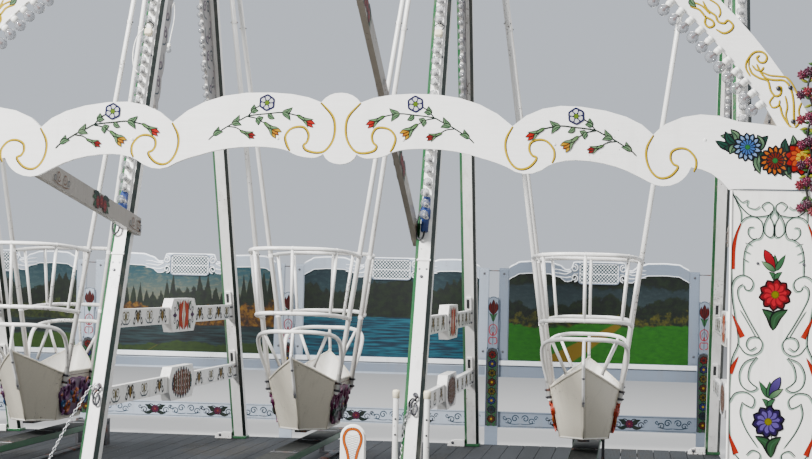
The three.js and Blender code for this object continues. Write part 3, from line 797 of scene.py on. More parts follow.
def block(size: Point, bevel: float = 2.0, segments: int = 2) -> Mesh:
    """A box round the origin with rounded edges.

    Args:
        size: lengths along the axes.
        bevel: width of the rounding.
        segments: its steps.

    Returns:
        The mesh.
    """
    bm = bmesh.new()
    bmesh.ops.create_cube(bm, size=1.0)
    bmesh.ops.scale(bm, vec=size, verts=bm.verts)
    if bevel:
        bmesh.ops.bevel(
            bm, geom=bm.edges[:], offset=bevel, offset_type="OFFSET", segments=segments, profile=0.5,
            affect="EDGES", material=-1,
        )
    return bm


def lathe(profile: Sequence[Point], steps: int = 16) -> Mesh:
    """A turned shape round the Z axis.

    Args:
        profile: radius and height of each place, from one end to the other.
        steps: steps of the full turn.

    Returns:
        The mesh.
    """
    bm = bmesh.new()
    dots = [bm.verts.new((r, 0, z)) for r, z in profile]
    edges = [bm.edges.new(pair) for pair in zip(dots, dots[1:])]
    bmesh.ops.spin(bm, geom=dots + edges, axis=(0, 0, 1), cent=(0, 0, 0), angle=TURN, steps=steps, use_merge=True)
    bmesh.ops.remove_doubles(bm, verts=bm.verts, dist=0.001)
    bmesh.ops.recalc_face_normals(bm, faces=bm.faces)
    return bm


def tube(
    points: Sequence[Point], radius: float | Callable[[float], float], sides: int = 10, closed: bool = False,
    flat: float = 1.0,
) -> Mesh:
    """A round or flattened bar along points.

    Args:
        points: places of its middle line.
        radius: its radius, or a function of the share of the way along.
        sides: corners of its section.
        closed: whether it comes back to its start.
        flat: height of the section as a share of its width.

    Returns:
        The mesh.
    """
    line = [Vector(p) for p in points]
    count = len(line)
    size = radius if callable(radius) else lambda t: radius
    frames = []
    turn = None
    for i, place in enumerate(line):
        before = line[i - 1] if i or closed else line[i]
        after = line[(i + 1) % count] if i < count - 1 or closed else line[i]
        ahead = (after - before).normalized()
        if turn is None:
            turn = ahead.to_track_quat("Z", "Y")
        else:
            turn = (turn @ Vector((0, 0, 1))).rotation_difference(ahead) @ turn
        r = size(i / max(1, count - 1))
        frames.append(move_to(place) @ turn.to_matrix().to_4x4() @ Matrix.Diagonal((r, r * flat, 1, 1)))
    bm = bmesh.new()
    first = bmesh.ops.create_circle(bm, cap_ends=False, segments=sides, radius=1.0)["verts"]
    bmesh.ops.transform(bm, matrix=frames[0], verts=first)
    start = [e for e in bm.edges]
    rim = start
    for before, after in zip(frames, frames[1:]):
        made = bmesh.ops.extrude_edge_only(bm, edges=rim)["geom"]
        verts = [g for g in made if isinstance(g, bmesh.types.BMVert)]
        rim = [g for g in made if isinstance(g, bmesh.types.BMEdge)]
        bmesh.ops.transform(bm, matrix=after @ before.inverted(), verts=verts)
    if closed:
        bmesh.ops.bridge_loops(bm, edges=start + rim)
    else:
        bmesh.ops.contextual_create(bm, geom=start)
        bmesh.ops.contextual_create(bm, geom=rim)
    for face in bm.faces:
        face.smooth = len(face.verts) == 4
    bmesh.ops.recalc_face_normals(bm, faces=bm.faces)
    return bm


def plate(outline: Sequence[Point], thick: float, bevel: float = 0.0) -> Mesh:
    """A board with an outline in X and Y, standing up from 0 along Z.

    Args:
        outline: the corners in order.
        thick: its thickness.
        bevel: rounding of the upper edges.

    Returns:
        The mesh.
    """
    bm = bmesh.new()
    face = bm.faces.new([bm.verts.new((p[0], p[1], 0)) for p in outline])
    face.normal_update()
    if face.normal.z > 0:
        face.normal_flip()
    made = bmesh.ops.extrude_face_region(bm, geom=[face])["geom"]
    bmesh.ops.translate(bm, vec=(0, 0, thick), verts=[g for g in made if isinstance(g, bmesh.types.BMVert)])
    bmesh.ops.recalc_face_normals(bm, faces=bm.faces)
    if bevel:
        top = [e for e in bm.edges if all(v.co.z > thick * 0.999 for v in e.verts)]
        bmesh.ops.bevel(
            bm, geom=top, offset=bevel, offset_type="OFFSET", segments=2, profile=0.5, affect="EDGES", material=-1
        )
    return bm


def ball(radius: float, across: int = 12, up: int = 8) -> Mesh:
    """A smooth ball.

    Args:
        radius: its radius.
        across: steps round it.
        up: steps from pole to pole.

    Returns:
        The mesh.
    """
    bm = bmesh.new()
    bmesh.ops.create_uvsphere(bm, u_segments=across, v_segments=up, radius=radius)
    for face in bm.faces:
        face.smooth = True
    return bm


def bolt_head(radius: float, height: float, sides: int = 6) -> Mesh:
    """A bolt head on a washer, standing on 0.

    Args:
        radius: radius of the head.
        height: height of the head with its washer.
        sides: number of its sides.

    Returns:
        The mesh.
    """
    washer = (radius * 1.45, height * 0.25)
    return lathe(
        [
            (0.001, 0), (washer[0], 0), washer, (radius, washer[1]), (radius, height * 0.85), (radius * 0.8, height),
            (0.001, height),
        ],
        sides,
    )


def tint(face: bmesh.types.BMFace, layer: bmesh.types.BMLayerItem, tone: Colour | Vector) -> None:
    """Paints one face."""
    for loop in face.loops:
        loop[layer] = (*tone, 1.0)


def coil(centre: Point, radius: float, start: float, sweep: float, shrink: float, count: int) -> list[Vector]:
    """Places along a line that winds in to a centre.

    Args:
        centre: its middle.
        radius: its outer radius.
        start: angle of its outer end.
        sweep: angle it turns through, with the sign of the winding.
        shrink: its inner radius as a share.
        count: steps along it.

    Returns:
        The places.
    """
    line = []
    for k in range(count + 1):
        t = k / count
        r = radius * (1 - (1 - shrink) * t)
        angle = start + sweep * t
        line.append(Vector((centre[0] + r * math.cos(angle), centre[1] + r * math.sin(angle))))
    return line


class Shape:
    """A piece under construction, in millimetres, with one material for each finish."""

    def __init__(self) -> None:
        """Starts empty."""
        self.bm = bmesh.new()
        self.layer = self.bm.loops.layers.float_color.new("paint")
        self.finishes: list[Finish] = []

    def add(
        self, part: Mesh, finish: Finish, place: Matrix | None = None, paint: Colour = WHITE,
        smooth: bool | None = None,
    ) -> "Shape":
        """Joins a mesh to the piece.

        Args:
            part: the mesh, which is used up.
            finish: its finish.
            place: where it goes.
            paint: its painted colour, unless it has its own.
            smooth: shading of its faces, or None to leave them.

        Returns:
            The piece.
        """
        if finish not in self.finishes:
            self.finishes.append(finish)
        index = self.finishes.index(finish)
        layer = part.loops.layers.float_color.get("paint")
        fresh = layer is None
        if fresh:
            layer = part.loops.layers.float_color.new("paint")
        if place is not None:
            bmesh.ops.transform(part, matrix=place, verts=part.verts)
            if place.determinant() < 0:
                bmesh.ops.reverse_faces(part, faces=part.faces)
        for face in part.faces:
            face.material_index = index
            if smooth is not None:
                face.smooth = smooth
            if fresh:
                tint(face, layer, paint)
        held = bpy.data.meshes.new("held")
        part.to_mesh(held)
        part.free()
        self.bm.from_mesh(held)
        bpy.data.meshes.remove(held)
        return self

    def bolt(
        self, place: Matrix, radius: float, height: float, sides: int = 6, finish: Finish = Finishes.bolt
    ) -> None:
        """Adds a bolt head that stands on a place."""
        self.add(bolt_head(radius, height, sides), finish, place)

    def stamp(self, other: "Shape", places: Iterable[Matrix]) -> "Shape":
        """Adds copies of another piece.

        Args:
            other: the piece to copy.
            places: where each copy goes.

        Returns:
            The piece.
        """
        held = bpy.data.meshes.new("held")
        other.bm.to_mesh(held)
        for finish in other.finishes:
            if finish not in self.finishes:
                self.finishes.append(finish)
        numbers = [self.finishes.index(f) for f in other.finishes]
        for polygon in held.polygons:
            polygon.material_index = numbers[polygon.material_index]
        for place in places:
            copy = held.copy()
            copy.transform(place)
            if place.determinant() < 0:
                copy.flip_normals()
            self.bm.from_mesh(copy)
            bpy.data.meshes.remove(copy)
        bpy.data.meshes.remove(held)
        return self

    def show(self, name: str, body: str, replaces: Sequence[str] = ()) -> bpy.types.Object:
        """Turns the piece into an object in metres that moves with a body.

        Args:
            name: the object's name.
            body: the CAD body it rides on.
            replaces: CAD nodes it stands for.

        Returns:
            The object.
        """
        mesh = bpy.data.meshes.new(name)
        self.bm.to_mesh(mesh)
        self.bm.free()
        mesh.transform(Matrix.Scale(MM, 4))
        for finish in self.finishes:
            mesh.materials.append(finish.material())
        made = bpy.data.objects.new(name, mesh)
        bpy.context.scene.collection.objects.link(made)
        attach(made, body)
        if replaces:
            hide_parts(*replaces)
        LOG.info("%s: %d faces", name, len(mesh.polygons))
        return made


@dataclass(frozen=True)
class Band:
    """A strip of a brush stroke, from one share of its width to the next, with the colours of its start and end."""

    until: float
    start: Colour
    end: Colour


class Ornament:
    """Flat painted work: u across the board, v up and w out of it."""

    def __init__(self, mirror: bool = False) -> None:
        """Starts empty.

        Args:
            mirror: whether u is turned round.
        """
        self.bm = bmesh.new()
        self.layer = self.bm.loops.layers.float_color.new("paint")
        self.side = -1.0 if mirror else 1.0
        self.level = 0

    def show_face(self, face: bmesh.types.BMFace, tone: Colour | Vector) -> None:
        """Paints a face and turns it outwards.

        Args:
            face: the face.
            tone: its colour.
        """
        tint(face, self.layer, tone)
        face.normal_update()
        if face.normal.z < 0:
            face.normal_flip()

    def stroke(
        self, path: Sequence[Vector], width: Callable[[float], float], bands: Sequence[Band], lift: float = 0.0
    ) -> None:
        """A brush stroke along a path.

        Args:
            path: places along its middle.
            width: half its width at a share of the way along.
            bands: its strips from one side (-1) to the other (1).
            lift: how far the middle stands out.
        """
        count = len(path) - 1
        self.level += 1
        made = bmesh.ops.create_grid(self.bm, x_segments=count, y_segments=len(bands), size=1.0)["verts"]
        edges = [-1.0, *(band.until for band in bands)]
        faces = {face for vert in made for face in vert.link_faces}
        rows = {face: min(len(bands) - 1, int((face.calc_center_median().y + 1) / 2 * len(bands))) for face in faces}
        shares = {face: (face.calc_center_median().x + 1) / 2 for face in faces}
        for vert in made:
            i = round((vert.co.x + 1) / 2 * count)
            j = round((vert.co.y + 1) / 2 * len(bands))
            here = path[i]
            ahead = path[min(i + 1, count)] - path[max(i - 1, 0)]
            sideways = Vector((-ahead.y, ahead.x)).normalized()
            spot = Vector(here[:2]) + sideways * width(i / count) * edges[j]
            out = 0.35 + 0.02 * self.level + lift * (1.0 - edges[j] ** 2)
            vert.co = (self.side * spot.x, spot.y, out)
        for face in faces:
            band = bands[rows[face]]
            self.show_face(face, Vector(band.start).lerp(Vector(band.end), shares[face]))

    def line(self, points: Sequence[Point], width: float, paint: Colour, steps: int = 5, taper: float = 0.35) -> None:
        """A line of even width with thinner ends.

        Args:
            points: places it goes through.
            width: its width.
            paint: its colour.
            steps: smoothness.
            taper: width of its ends as a share.
        """
        path = smooth_line(points, steps)
        self.stroke(
            path,
            lambda t: width / 2 * min(1.0, taper + 8 * t, taper + 8 * (1 - t)),
            [Band(1.0, paint, paint)],
        )

    def blade(
        self, base: Point, tip: Point, width: float, fill: Colour, edge: Colour, vein: Colour | None = None,
        bend: float = 0.0, blunt: float = 0.75, outline: float = 2.2, glow: Colour | None = None,
    ) -> None:
        """A leaf or petal with an outline.

        Args:
            base: where it grows.
            tip: its end.
            width: its greatest width.
            fill: colour at its base.
            edge: colour of its outline.
            vein: colour of its middle line.
            bend: sideways bow as a share of its length.
            blunt: 1 for a round tip, less for a sharp one.
            outline: width of the outline.
            glow: colour at its tip.
        """
        a, b = Vector(base[:2]), Vector(tip[:2])
        run = b - a
        bow = Vector((-run.y, run.x)) * bend
        glow = glow or shade(fill, 1.25)
        half = width / 2
        inner = max(0.45 * half, half - outline)
        inset = run.normalized() * (half - inner)
        if vein is None:
            bands = [Band(0, fill, glow), Band(1, fill, glow)]
        else:
            thin = min(0.22, 0.5 * outline / half)
            bands = [Band(-thin, fill, glow), Band(thin, vein, vein), Band(1, glow, fill)]
        for start, end, size, strips in (
            (a, b, half, [Band(1, edge, edge)]), (a + inset * 0.6, b - inset, inner, bands),
        ):
            path = smooth_line([start, (start + end) / 2 + bow, end], 5)
            self.stroke(path, lambda t, size=size: size * max(0.03, math.sin(math.pi * t**blunt)) ** 0.8, strips)

    def disc(self, centre: Point, radius: float, fill: Colour, edge: Colour | None = None, sides: int = 14) -> None:
        """A round spot with an outline.

        Args:
            centre: its middle.
            radius: radius of the outline.
            fill: colour of the spot.
            edge: colour of the outline, or None for that of the spot.
            sides: number of its sides.
        """
        self.level += 1
        for size, paint in ((radius, edge or fill), (radius * 0.78, fill)):
            made = bmesh.ops.create_circle(self.bm, cap_ends=True, segments=sides, radius=size)["verts"]
            self.level += 1
            for vert in made:
                vert.co = (self.side * (centre[0] + vert.co.x), centre[1] + vert.co.y, 0.35 + 0.02 * self.level)
            for face in {f for v in made for f in v.link_faces}:
                self.show_face(face, paint)

    def leaf_pair(self, base: Point, tips: Sequence[Point], width: float = 26.0) -> None:
        """Leaves that grow from one place on a stem."""
        for k, tip in enumerate(tips):
            self.blade(base, tip, width, LEAF, LEAF_DARK, LEAF_DARK, 0.12 if k else -0.12, outline=4.4, glow=LEAF_PALE)

    def daisy(
        self, centre: Point, radius: float, petals: int, fill: Colour, edge: Colour, heart: Colour, start: float = 0.3,
        line: float = 3.6,
    ) -> None:
        """A flower with petals round a heart.

        Args:
            centre: its middle.
            radius: length of a petal from the middle.
            petals: their number.
            fill: colour of the petals.
            edge: their outline.
            heart: colour of the middle.
            start: angle of the first petal.
            line: width of the outlines.
        """
        c = Vector(centre[:2])
        wide = 2.3 * radius * math.sin(math.pi / petals) * 0.88
        for k in range(petals):
            angle = start + TURN * k / petals
            ray = Vector((math.cos(angle), math.sin(angle)))
            root, tip = c + ray * radius * 0.15, c + ray * radius
            self.blade(root, tip, wide, fill, edge, None, 0, 1.3, line, shade(fill, 1.15))
        self.disc(c, radius * 0.3, heart, shade(heart, 0.5))

    def bud(self, base: Point, tip: Point, width: float, petals: Sequence[tuple[Colour, Colour]]) -> None:
        """A half-open flower in a green calyx.

        Args:
            base: where the calyx starts.
            tip: end of the middle petal.
            width: width of the flower.
            petals: fill and glow colours of the petals.
        """
        a, b = Vector(base[:2]), Vector(tip[:2])
        run = b - a
        side = Vector((-run.y, run.x)).normalized()
        spread = (len(petals) - 1) / 2
        for k, (fill, glow) in enumerate(petals):
            lean = (k - spread) * 0.42
            start = a + run * 0.42 + side * width * lean * 0.2
            self.blade(start, b + side * width * lean, width * 0.5, fill, BROWN_LINE, None, 0, 0.9, 4.4, glow)
        for s in (-1, 1, 0):
            end = a + run * (0.8 if s else 0.5) + side * s * width * 0.52
            self.blade(a, end, width * 0.4, CALYX, LEAF_DARK, None, -s * 0.12, 0.8, 4.4, LEAF_PALE)

    def gilt(self, points: Sequence[Point], width: float) -> None:
        """A yellow line with a brown lower edge."""
        self.line([(p[0] + width * 0.24, p[1] - width * 0.24) for p in points], width * 0.9, colour("4a3204"), 4, 0.5)
        self.line(points, width * 0.7, GOLD, 4, 0.5)

    def wedge(self, points: Sequence[Point], width: float, paint: Colour) -> None:
        """A stroke that starts thin and ends square.

        Args:
            points: its middle line.
            width: its greatest width.
            paint: its colour.
        """
        path = smooth_line(points, 5)
        bands = [Band(-0.55, shade(paint, 0.55), shade(paint, 0.6)), Band(1.0, paint, shade(paint, 1.3))]
        self.stroke(path, lambda t: width / 2 * (0.06 + 0.94 * t**0.7), bands)

    def spiral(
        self, centre: Point, radius: float, start: float, turns: float, width: float, paint: Colour, shrink: float = 0.2
    ) -> None:
        """A line that winds in to a centre.

        Args:
            centre: where it ends.
            radius: its outer radius.
            start: angle of its outer end.
            turns: turns made, with the sign of the winding.
            width: width of the line.
            paint: its colour.
            shrink: the inner radius as a share.
        """
        count = max(6, int(abs(turns) * 12))
        self.line(coil(centre, radius, start, TURN * turns, shrink, count), width, paint, 2)

    def onto(self, shape: Shape, place: Matrix, finish: Finish = Finishes.hand) -> None:
        """Lays the work on a board."""
        shape.add(self.bm, finish, place)


def painted(points: Sequence[Point], by: Point) -> list[Vector]:
    """Points moved by an offset."""
    return [Vector((p[0] + by[0], p[1] + by[1])) for p in points]


def side_name(side: int) -> str:
    """Left for -1 and right for 1."""
    return "left" if side < 0 else "right"


# Sub-assemblies


@dataclass
class Lamps:
    """Fairground lamps: a ribbed socket, a clear globe and its filament."""

    socket_radius: float = 18.0
    socket_length: float = 40.0
    globe_radius: float = 29.0

    def one(self, scale: float = 1.0, warm: bool = False) -> Shape:
        """A lamp that stands on 0 and points along Z.

        Args:
            scale: factor on all sizes.
            warm: whether the filament shows orange.

        Returns:
            The lamp.
        """
        r, length, globe = self.socket_radius * scale, self.socket_length * scale, self.globe_radius * scale
        lamp = Shape()
        sleeve = [
            (r * 0.75, 0), (r, length * 0.06), (r, length * 0.3), (r * 0.9, length * 0.36), (r, length * 0.42),
            (r, length * 0.72), (r * 0.9, length * 0.78), (r * 0.82, length), (r * 0.5, length),
        ]
        lamp.add(lathe(sleeve, 9), Finishes.socket, smooth=True)
        neck = r * 0.6
        middle = length + globe * 0.92
        glass = [(neck, length * 0.96), (neck * 1.05, length * 1.05)]
        first = -math.asin(min(0.9, neck / globe)) + QUARTER
        for k in range(1, 7):
            angle = -first + (QUARTER + first) * k / 6
            glass.append((max(0.01, globe * math.cos(angle)), middle + globe * math.sin(angle)))
        lamp.add(lathe(glass, 10), Finishes.glass, smooth=True)
        stalk = [(0.34 * r, length), (0.2 * r, middle - globe * 0.4), (0.5 * r, middle), (0.01, middle + globe * 0.25)]
        lamp.add(lathe(stalk, 5), Finishes.filament if warm else Finishes.socket)
        return lamp


@dataclass
class Assembly:
    """A sub-assembly built round nodes of the CAD part."""

    nodes: dict[str, bpy.types.Object]

    def dress(self, node: str, finish: Finish) -> None:
        """Gives a CAD node its finish.

        Args:
            node: the node's name.
            finish: the finish.
        """
        mesh = self.nodes[node].data
        mesh.materials.clear()
        mesh.materials.append(finish.material())

    def build(self) -> None:
        """Builds all of it."""
        raise NotImplementedError


@dataclass
class Frames(Assembly):
    """The five A-frames with their fittings, lamps, cables and painted tie boards."""

    lamp_pitch: float = 84.6
    lamp_from: float = 1790.0
    lamp_to: float = 5130.0
    lamp_out: float = 82.0
    rail_margin: float = 40.0
    odd_lamp: float = 3170.0
    small_pitch: float = 66.0
    board_foot: float = 2830.0
    board_top: float = 4560.0
    board_width: float = 262.0
    board_thick: float = 24.0
    board_bays: int = 9
    joints: tuple[float, ...] = (80.0, 1500.0, 3000.0, 4600.0)
    plug: float = 1880.0
    eye: float = 620.0
    link_pitch: float = 23.0
    ties: tuple[float, float] = (625.0, 1145.0)
    tie_half: float = 20.0
    block_half: float = 36.0
    block_end: float = 400.0
    lamps: Lamps = field(default_factory=Lamps)

    def leg_place(self, x: float, height: float, front: bool, u: float = 0.0, out: float = 60.0) -> Matrix:
        """A place on the face of a leg that looks away from the middle: Z out, Y up along the leg.

        Args:
            x: the frame's plane.
            height: along the leg, above the deck.
            front: whether it is the leg on the public side.
            u: distance across the leg.
            out: distance from its middle line.

        Returns:
            The place.
        """
        s = -1.0 if front else 1.0
        y = s * FOOT_Y * (1 - height / AXLE)
        up = Vector((0, -s * FOOT_Y, AXLE)).normalized()
        normal = Vector((0, s * AXLE, FOOT_Y)).normalized()
        right = up.cross(normal)
        return at(x, y, DECK + height) @ axes(right, up, normal) @ at(u, 0, out)

    def lamp_string(self, x: float, number: int) -> None:
        """Lamps up the front leg that lie across its face.

        Args:
            x: the frame's plane.
            number: the frame's number.
        """
        rng = random.Random(number)
        shape = Shape()
        lamp = self.lamps.one(1.08)
        rail_from, rail_to = self.lamp_from - self.rail_margin, self.lamp_to + self.rail_margin
        pitch = self.lamp_pitch / LEG_STRETCH
        count = int((self.lamp_to - self.lamp_from) / pitch)
        places = []
        for k in range(count):
            height = self.lamp_from + (k + 0.5) * pitch
            here = self.leg_place(x, height, True, 4, self.lamp_out)
            if abs(height - self.odd_lamp) < self.lamp_pitch / 2:
                shape.add(block((56, 50, 40), 12, 3), Finishes.grip, here @ at(-8, 0, 22))
                knot = [(10, 20, 20), (30, 44, 40), (0, 62, 52), (-34, 46, 44), (-40, 10, 30)]
                shape.add(tube(smooth_line([here @ Vector(p) for p in knot], 4), 4, 6), Finishes.black)
                continue
            lean = turned(math.radians(-8 + rng.uniform(-6, 6)), "Y")
            places.append(here @ turned(math.radians(rng.uniform(-4, 10)), "X") @ lean)
        shape.stamp(lamp, places)
        middle = self.leg_place(x, (rail_from + rail_to) / 2, True, 2, 70)
        length = (rail_to - rail_from) * LEG_STRETCH
        shape.add(block((46, length, 24), 3), Finishes.white, middle)
        if number == MIDDLE_FRAME:
            loop = [(-24, 3200, 110), (-84, 3110, 104), (-96, 2990, 100), (-70, 2880, 104), (-30, 2840, 110)]
            ends = [self.leg_place(x, h, True, u, w).translation for u, h, w in loop]
            shape.add(tube(smooth_line(ends, 6), 4, 6), Finishes.socket)
        shape.show(f"frame_lamps_{number}", "root")

    def fittings(self, x: float, number: int) -> None:
        """Lamp boards, brackets, bolts, feet, end plates, plug and cable of one frame.

        Args:
            x: the frame's plane.
            number: the frame's number.
        """
        shape = Shape()
        for front in (True, False):
            for height in self.joints:
                joint = self.leg_place(x, height, front, 0, 60)
                for du in (-24, 24):
                    shape.bolt(joint @ at(du, 0, 0), 8, 9)
            s = -1 if front else 1
            shape.add(block((134, 150, 24), 3), Finishes.green, at(x, s * (FOOT_Y - 4), DECK + 12.5))
            arc = [(-150, 0), (-146, 26), (-122, 48), (-86, 56), (0, 58), (0, 0)]
            wedge = at(x - 62, s * (FOOT_Y - 40), DECK + 0.6) @ facing_front(0, 0, 0)
            shape.add(plate(smooth_line(arc, 1), 60, 3), Finishes.white, wedge)
            shape.bolt(wedge @ at(-104, 30, 60), 10, 12)
        cover = self.leg_place(x, 820, True, 0, 63)
        shape.add(block((76, 1560, 8), 2), Finishes.white, cover @ at(0, 40, 0))
        lip = self.leg_place(x, 1560, True, 0, 66)
        shape.add(block((92, 14, 16), 3), Finishes.white, lip)
        shape.bolt(lip @ at(-8, -120, 4), 8, 10)
        for height in self.ties:
            reach = FOOT_Y * (1 - height / AXLE)
            for s in (-1, 1):
                end = facing_side(x + self.tie_half + 1, s * (reach - 130), DECK + height, 1)
                for dz in (-40, 40):
                    for du in (-32, 32):
                        shape.bolt(end @ at(du, dz, 0), 8, 9)
            slot = self.leg_place(x, height + 150, False, 0, -60)
            shape.add(block((50, 118, 24), 3), Finishes.white, slot @ at(4, 0, -10))
            shape.add(block((24, 84, 26), 2), Finishes.black, slot @ at(8, 0, -12))
        plug = self.leg_place(x, self.plug, True, -6, 92)
        body = [(0.01, -150), (24, -148), (27, -60), (34, -52), (34, 10), (27, 16), (27, 92), (20, 110), (0.01, 112)]
        shape.add(lathe(body, 14), Finishes.blue, plug @ turned(-QUARTER, "X"), smooth=True)
        rng = random.Random(number + 40)
        run = [(-6, -148, 92), (-14, -190, 90), (-40, -206, 84), (-62, -150, 76), (-60, -60, 70), (-30, 60, 72)]
        run += [(8, 130, 70)]
        leg = self.leg_place(x, self.plug, True, 0, 0)
        path = [leg @ Vector((u + rng.uniform(-3, 3), v, w)) for u, v, w in run]
        shape.add(tube(smooth_line(path, 5), 7, 8), Finishes.black)
        head = DECK + AXLE
        for side in (-1, 1):
            face = facing_side(x + side * 70, 0, head, side)
            shape.add(lathe([(36.5, 0), (88, 0), (88, 10), (80, 14), (36.5, 14)], 24), Finishes.steel, face)
            for k in range(6):
                angle = math.pi * k / 3
                shape.bolt(face @ at(108 * math.cos(angle), 108 * math.sin(angle), 0), 8, 9)
            for dz in (-290, -200):
                for dy in (-100, 100):
                    shape.bolt(face @ at(dy, dz, 0), 11, 12)
        shape.show(f"frame_fittings_{number}", "root")

    def tie_art(self, x: float, number: int) -> None:
        """Painted motifs on both faces of the tie blocks and boards.

        Args:
            x: the frame's plane.
            number: the frame's number.
        """
        shape = Shape()
        for level, height in enumerate(self.ties):
            for side in (-1, 1):
                art = Ornament()
                if level:
                    self.butterfly(art)
                else:
                    self.net(art)
                art.onto(shape, facing_side(x + side * self.block_half, 0, DECK + height, side))
                reach = FOOT_Y * (1 - height / AXLE) - 160
                rail = Ornament()
                for s in (-1, 1):
                    start, end = s * self.block_end, s * reach
                    for share, bold in ((0.14, True), (0.42, False), (0.66, True), (0.9, False)):
                        u = start + (end - start) * share
                        for t in (-1, 1):
                            if bold:
                                rail.spiral((u + t * 40, 12), 40, 0 if t > 0 else math.pi, 1.2 * t, 17, BLACK)
                                rail.spiral((u + t * 92, -18), 32, 0 if t > 0 else math.pi, -1.1 * t, 15, BLACK)
                                rail.blade((u, -44), (u + t * 44, 50), 30, colour("8a6a10"), BLACK, None, 0, 0.9, 7)
                            else:
                                rail.spiral((u + t * 44, 8), 38, 0 if t > 0 else math.pi, 1.3 * t, 10, colour("6a5c1c"))
                                rail.line([(u, -44), (u + t * 60, -40), (u + t * 110, -10)], 10, SLATE)
                        tone = colour("c8901c") if bold else LEAF
                        rail.blade((u, -46), (u, 50), 28, tone, BLACK, None, 0, 1.0, 4, YELLOW)
                rail.onto(shape, facing_side(x + side * self.tie_half, 0, DECK + height, side))
        shape.show(f"frame_art_{number}", "root")

    def butterfly(self, art: Ornament) -> None:
        """Upper block: two red wings with scrolls in the corners.

        Args:
            art: where it is painted.
        """
        red = colour("d8381c")
        for s in (-1, 1):
            art.blade((s * 16, -114), (s * 128, 116), 96, red, BROWN_LINE, colour("e8b03c"), -0.12 * s, 1.0, 6)
            art.blade((s * 16, 114), (s * 128, -116), 96, red, BROWN_LINE, colour("e8b03c"), 0.12 * s, 1.0, 6)
            for t in (-1, 1):
                art.spiral((s * 192, t * 62), 44, math.pi if s > 0 else 0, -1.3 * s * t, 13, PURPLE)
                art.spiral((s * 272, t * 34), 32, 0 if s > 0 else math.pi, 1.2 * s * t, 11, LEAF_DARK)
                art.blade((s * 140, t * 30), (s * 232, t * 110), 26, LEAF, LEAF_DARK, None, 0.1 * s * t, glow=LEAF_PALE)
            art.blade((s * 210, 0), (s * 330, 0), 34, PURPLE, BLACK, None, 0, 0.9, 4)
        art.blade((0, -112), (0, 112), 30, colour("e8b03c"), BROWN_LINE, None, 0, 1.0, 4)

    def net(self, art: Ornament) -> None:
        """Lower block: an oval of wavy red and green columns in a scalloped blue frame.

        Args:
            art: where it is painted.
        """
        for k in range(22):
            angle = TURN * k / 22
            spot = Vector((286 * math.cos(angle), 100 * math.sin(angle)))
            art.disc(spot, 24, colour("27406a") if k % 2 else colour("1c2a34"), BLACK, 8)
        for k in range(-4, 5):
            top = 96 * math.sqrt(1 - (k / 5) ** 2)
            wave = [(k * 58 + 12 * (-1) ** n, -top + 2 * top * n / 8) for n in range(9)]
            art.line(wave, 30, colour("7a2410") if k % 2 else colour("a8401c"), 3, 0.8)
            art.line([(u + 20, v) for u, v in wave], 9, colour("e0d8c0") if k % 2 else colour("3f7a3c"), 3, 0.8)

    def chain(self, x: float, number: int) -> None:
        """Safety chain from a dark eye on the front leg down to the deck.

        Args:
            x: the frame's plane.
            number: the frame's number.
        """
        shape = Shape()
        knots = [(0, 600, 86), (-30, 570, 86), (-52, 500, 72), (-57, 380, 40), (-56, 200, 20), (-54, 60, 20)]
        if number == MIDDLE_FRAME:
            knots = [(-16, 690, 86), (-58, 640, 84), (-98, 560, 80), (-150, 460, 74), (-250, 230, 56), (-330, 24, 40)]
        hang = smooth_line([self.leg_place(x, h, True, u, w).translation for u, h, w in knots], 8)
        total = sum((b - a).length for a, b in zip(hang, hang[1:]))
        count = int(total / self.link_pitch)
        ring = [(8 * math.cos(math.pi * k / 5), 15 * math.sin(math.pi * k / 5), 0) for k in range(10)]
        template = Shape().add(tube(ring, 3.4, 5, closed=True), Finishes.steel)
        places = []
        for k in range(count):
            ahead = on_line(hang, min(1.0, (k + 1.2) / count)) - on_line(hang, max(0.0, (k - 0.2) / count))
            place = move_to(on_line(hang, (k + 0.5) / count))
            places.append(place @ aim(ahead, "Y", "Z") @ turned(QUARTER * (k % 2), "Y"))
        shape.stamp(template, places)
        eye = self.leg_place(x, self.eye, True, 4, 70)
        hook = (
            (4, 74, 6), (20, 50, 14), (-4, 22, 18), (-18, -16, 20), (-10, -60, 18), (12, -70, 16), (22, -30, 14),
            (6, 10, 12),
        )
        for curve, thick in ((hook, 7), (((-20, -20, 10), (-30, 10, 12), (-12, 40, 10), (14, 30, 8)), 6)):
            shape.add(tube(smooth_line([eye @ Vector(p) for p in curve], 4), thick, 8), Finishes.clamp)
        shape.add(lathe([(0.01, 8), (14, 8), (16, 4), (16, -8)], 10), Finishes.clamp, eye @ at(4, 70, 0))
        end = lathe([(6, -14), (13, -12), (13, 8), (6, 10)], 8)
        shape.add(end, Finishes.clamp, along_x(*hang[-1]))
        shape.show(f"frame_chain_{number}", "root")

    def narrowing(self, t: float) -> float:
        """Width of a carved board at a share of its length, as a share of its full width."""
        return min(1.0, 2.4 * (1 - t) + 0.4)

    def carved_board(self, x: float, number: int, front: bool) -> None:
        """Carved board with lamps that lies in the plane of the frame along the inner side of a leg.

        Args:
            x: the frame's plane.
            number: the frame's number.
            front: whether it is the leg on the public side.
        """
        shape = Shape()
        end = "front" if front else "back"
        inward = Matrix(((0, 0, 1, -12), (0, 1, 0, 0), (-1, 0, 0, 0), (0, 0, 0, 1)))
        place = self.leg_place(x, self.board_foot, front, 0, -58) @ inward
        length = (self.board_top - self.board_foot) * LEG_STRETCH
        edge = []
        bays = self.board_bays
        for k in range(bays * 6 + 1):
            t = k / (bays * 6)
            scallop = 24 * abs(math.sin(math.pi * t * bays))
            edge.append((self.board_width * self.narrowing(t) + scallop, t * length))
        foot = [(0, 30), (40, 44), (96, 20), (150, -6), (196, -52), (250, -66), (284, -30)]
        outline = smooth_line(foot, 3) + [Vector(p) for p in edge] + [Vector((0, length))]
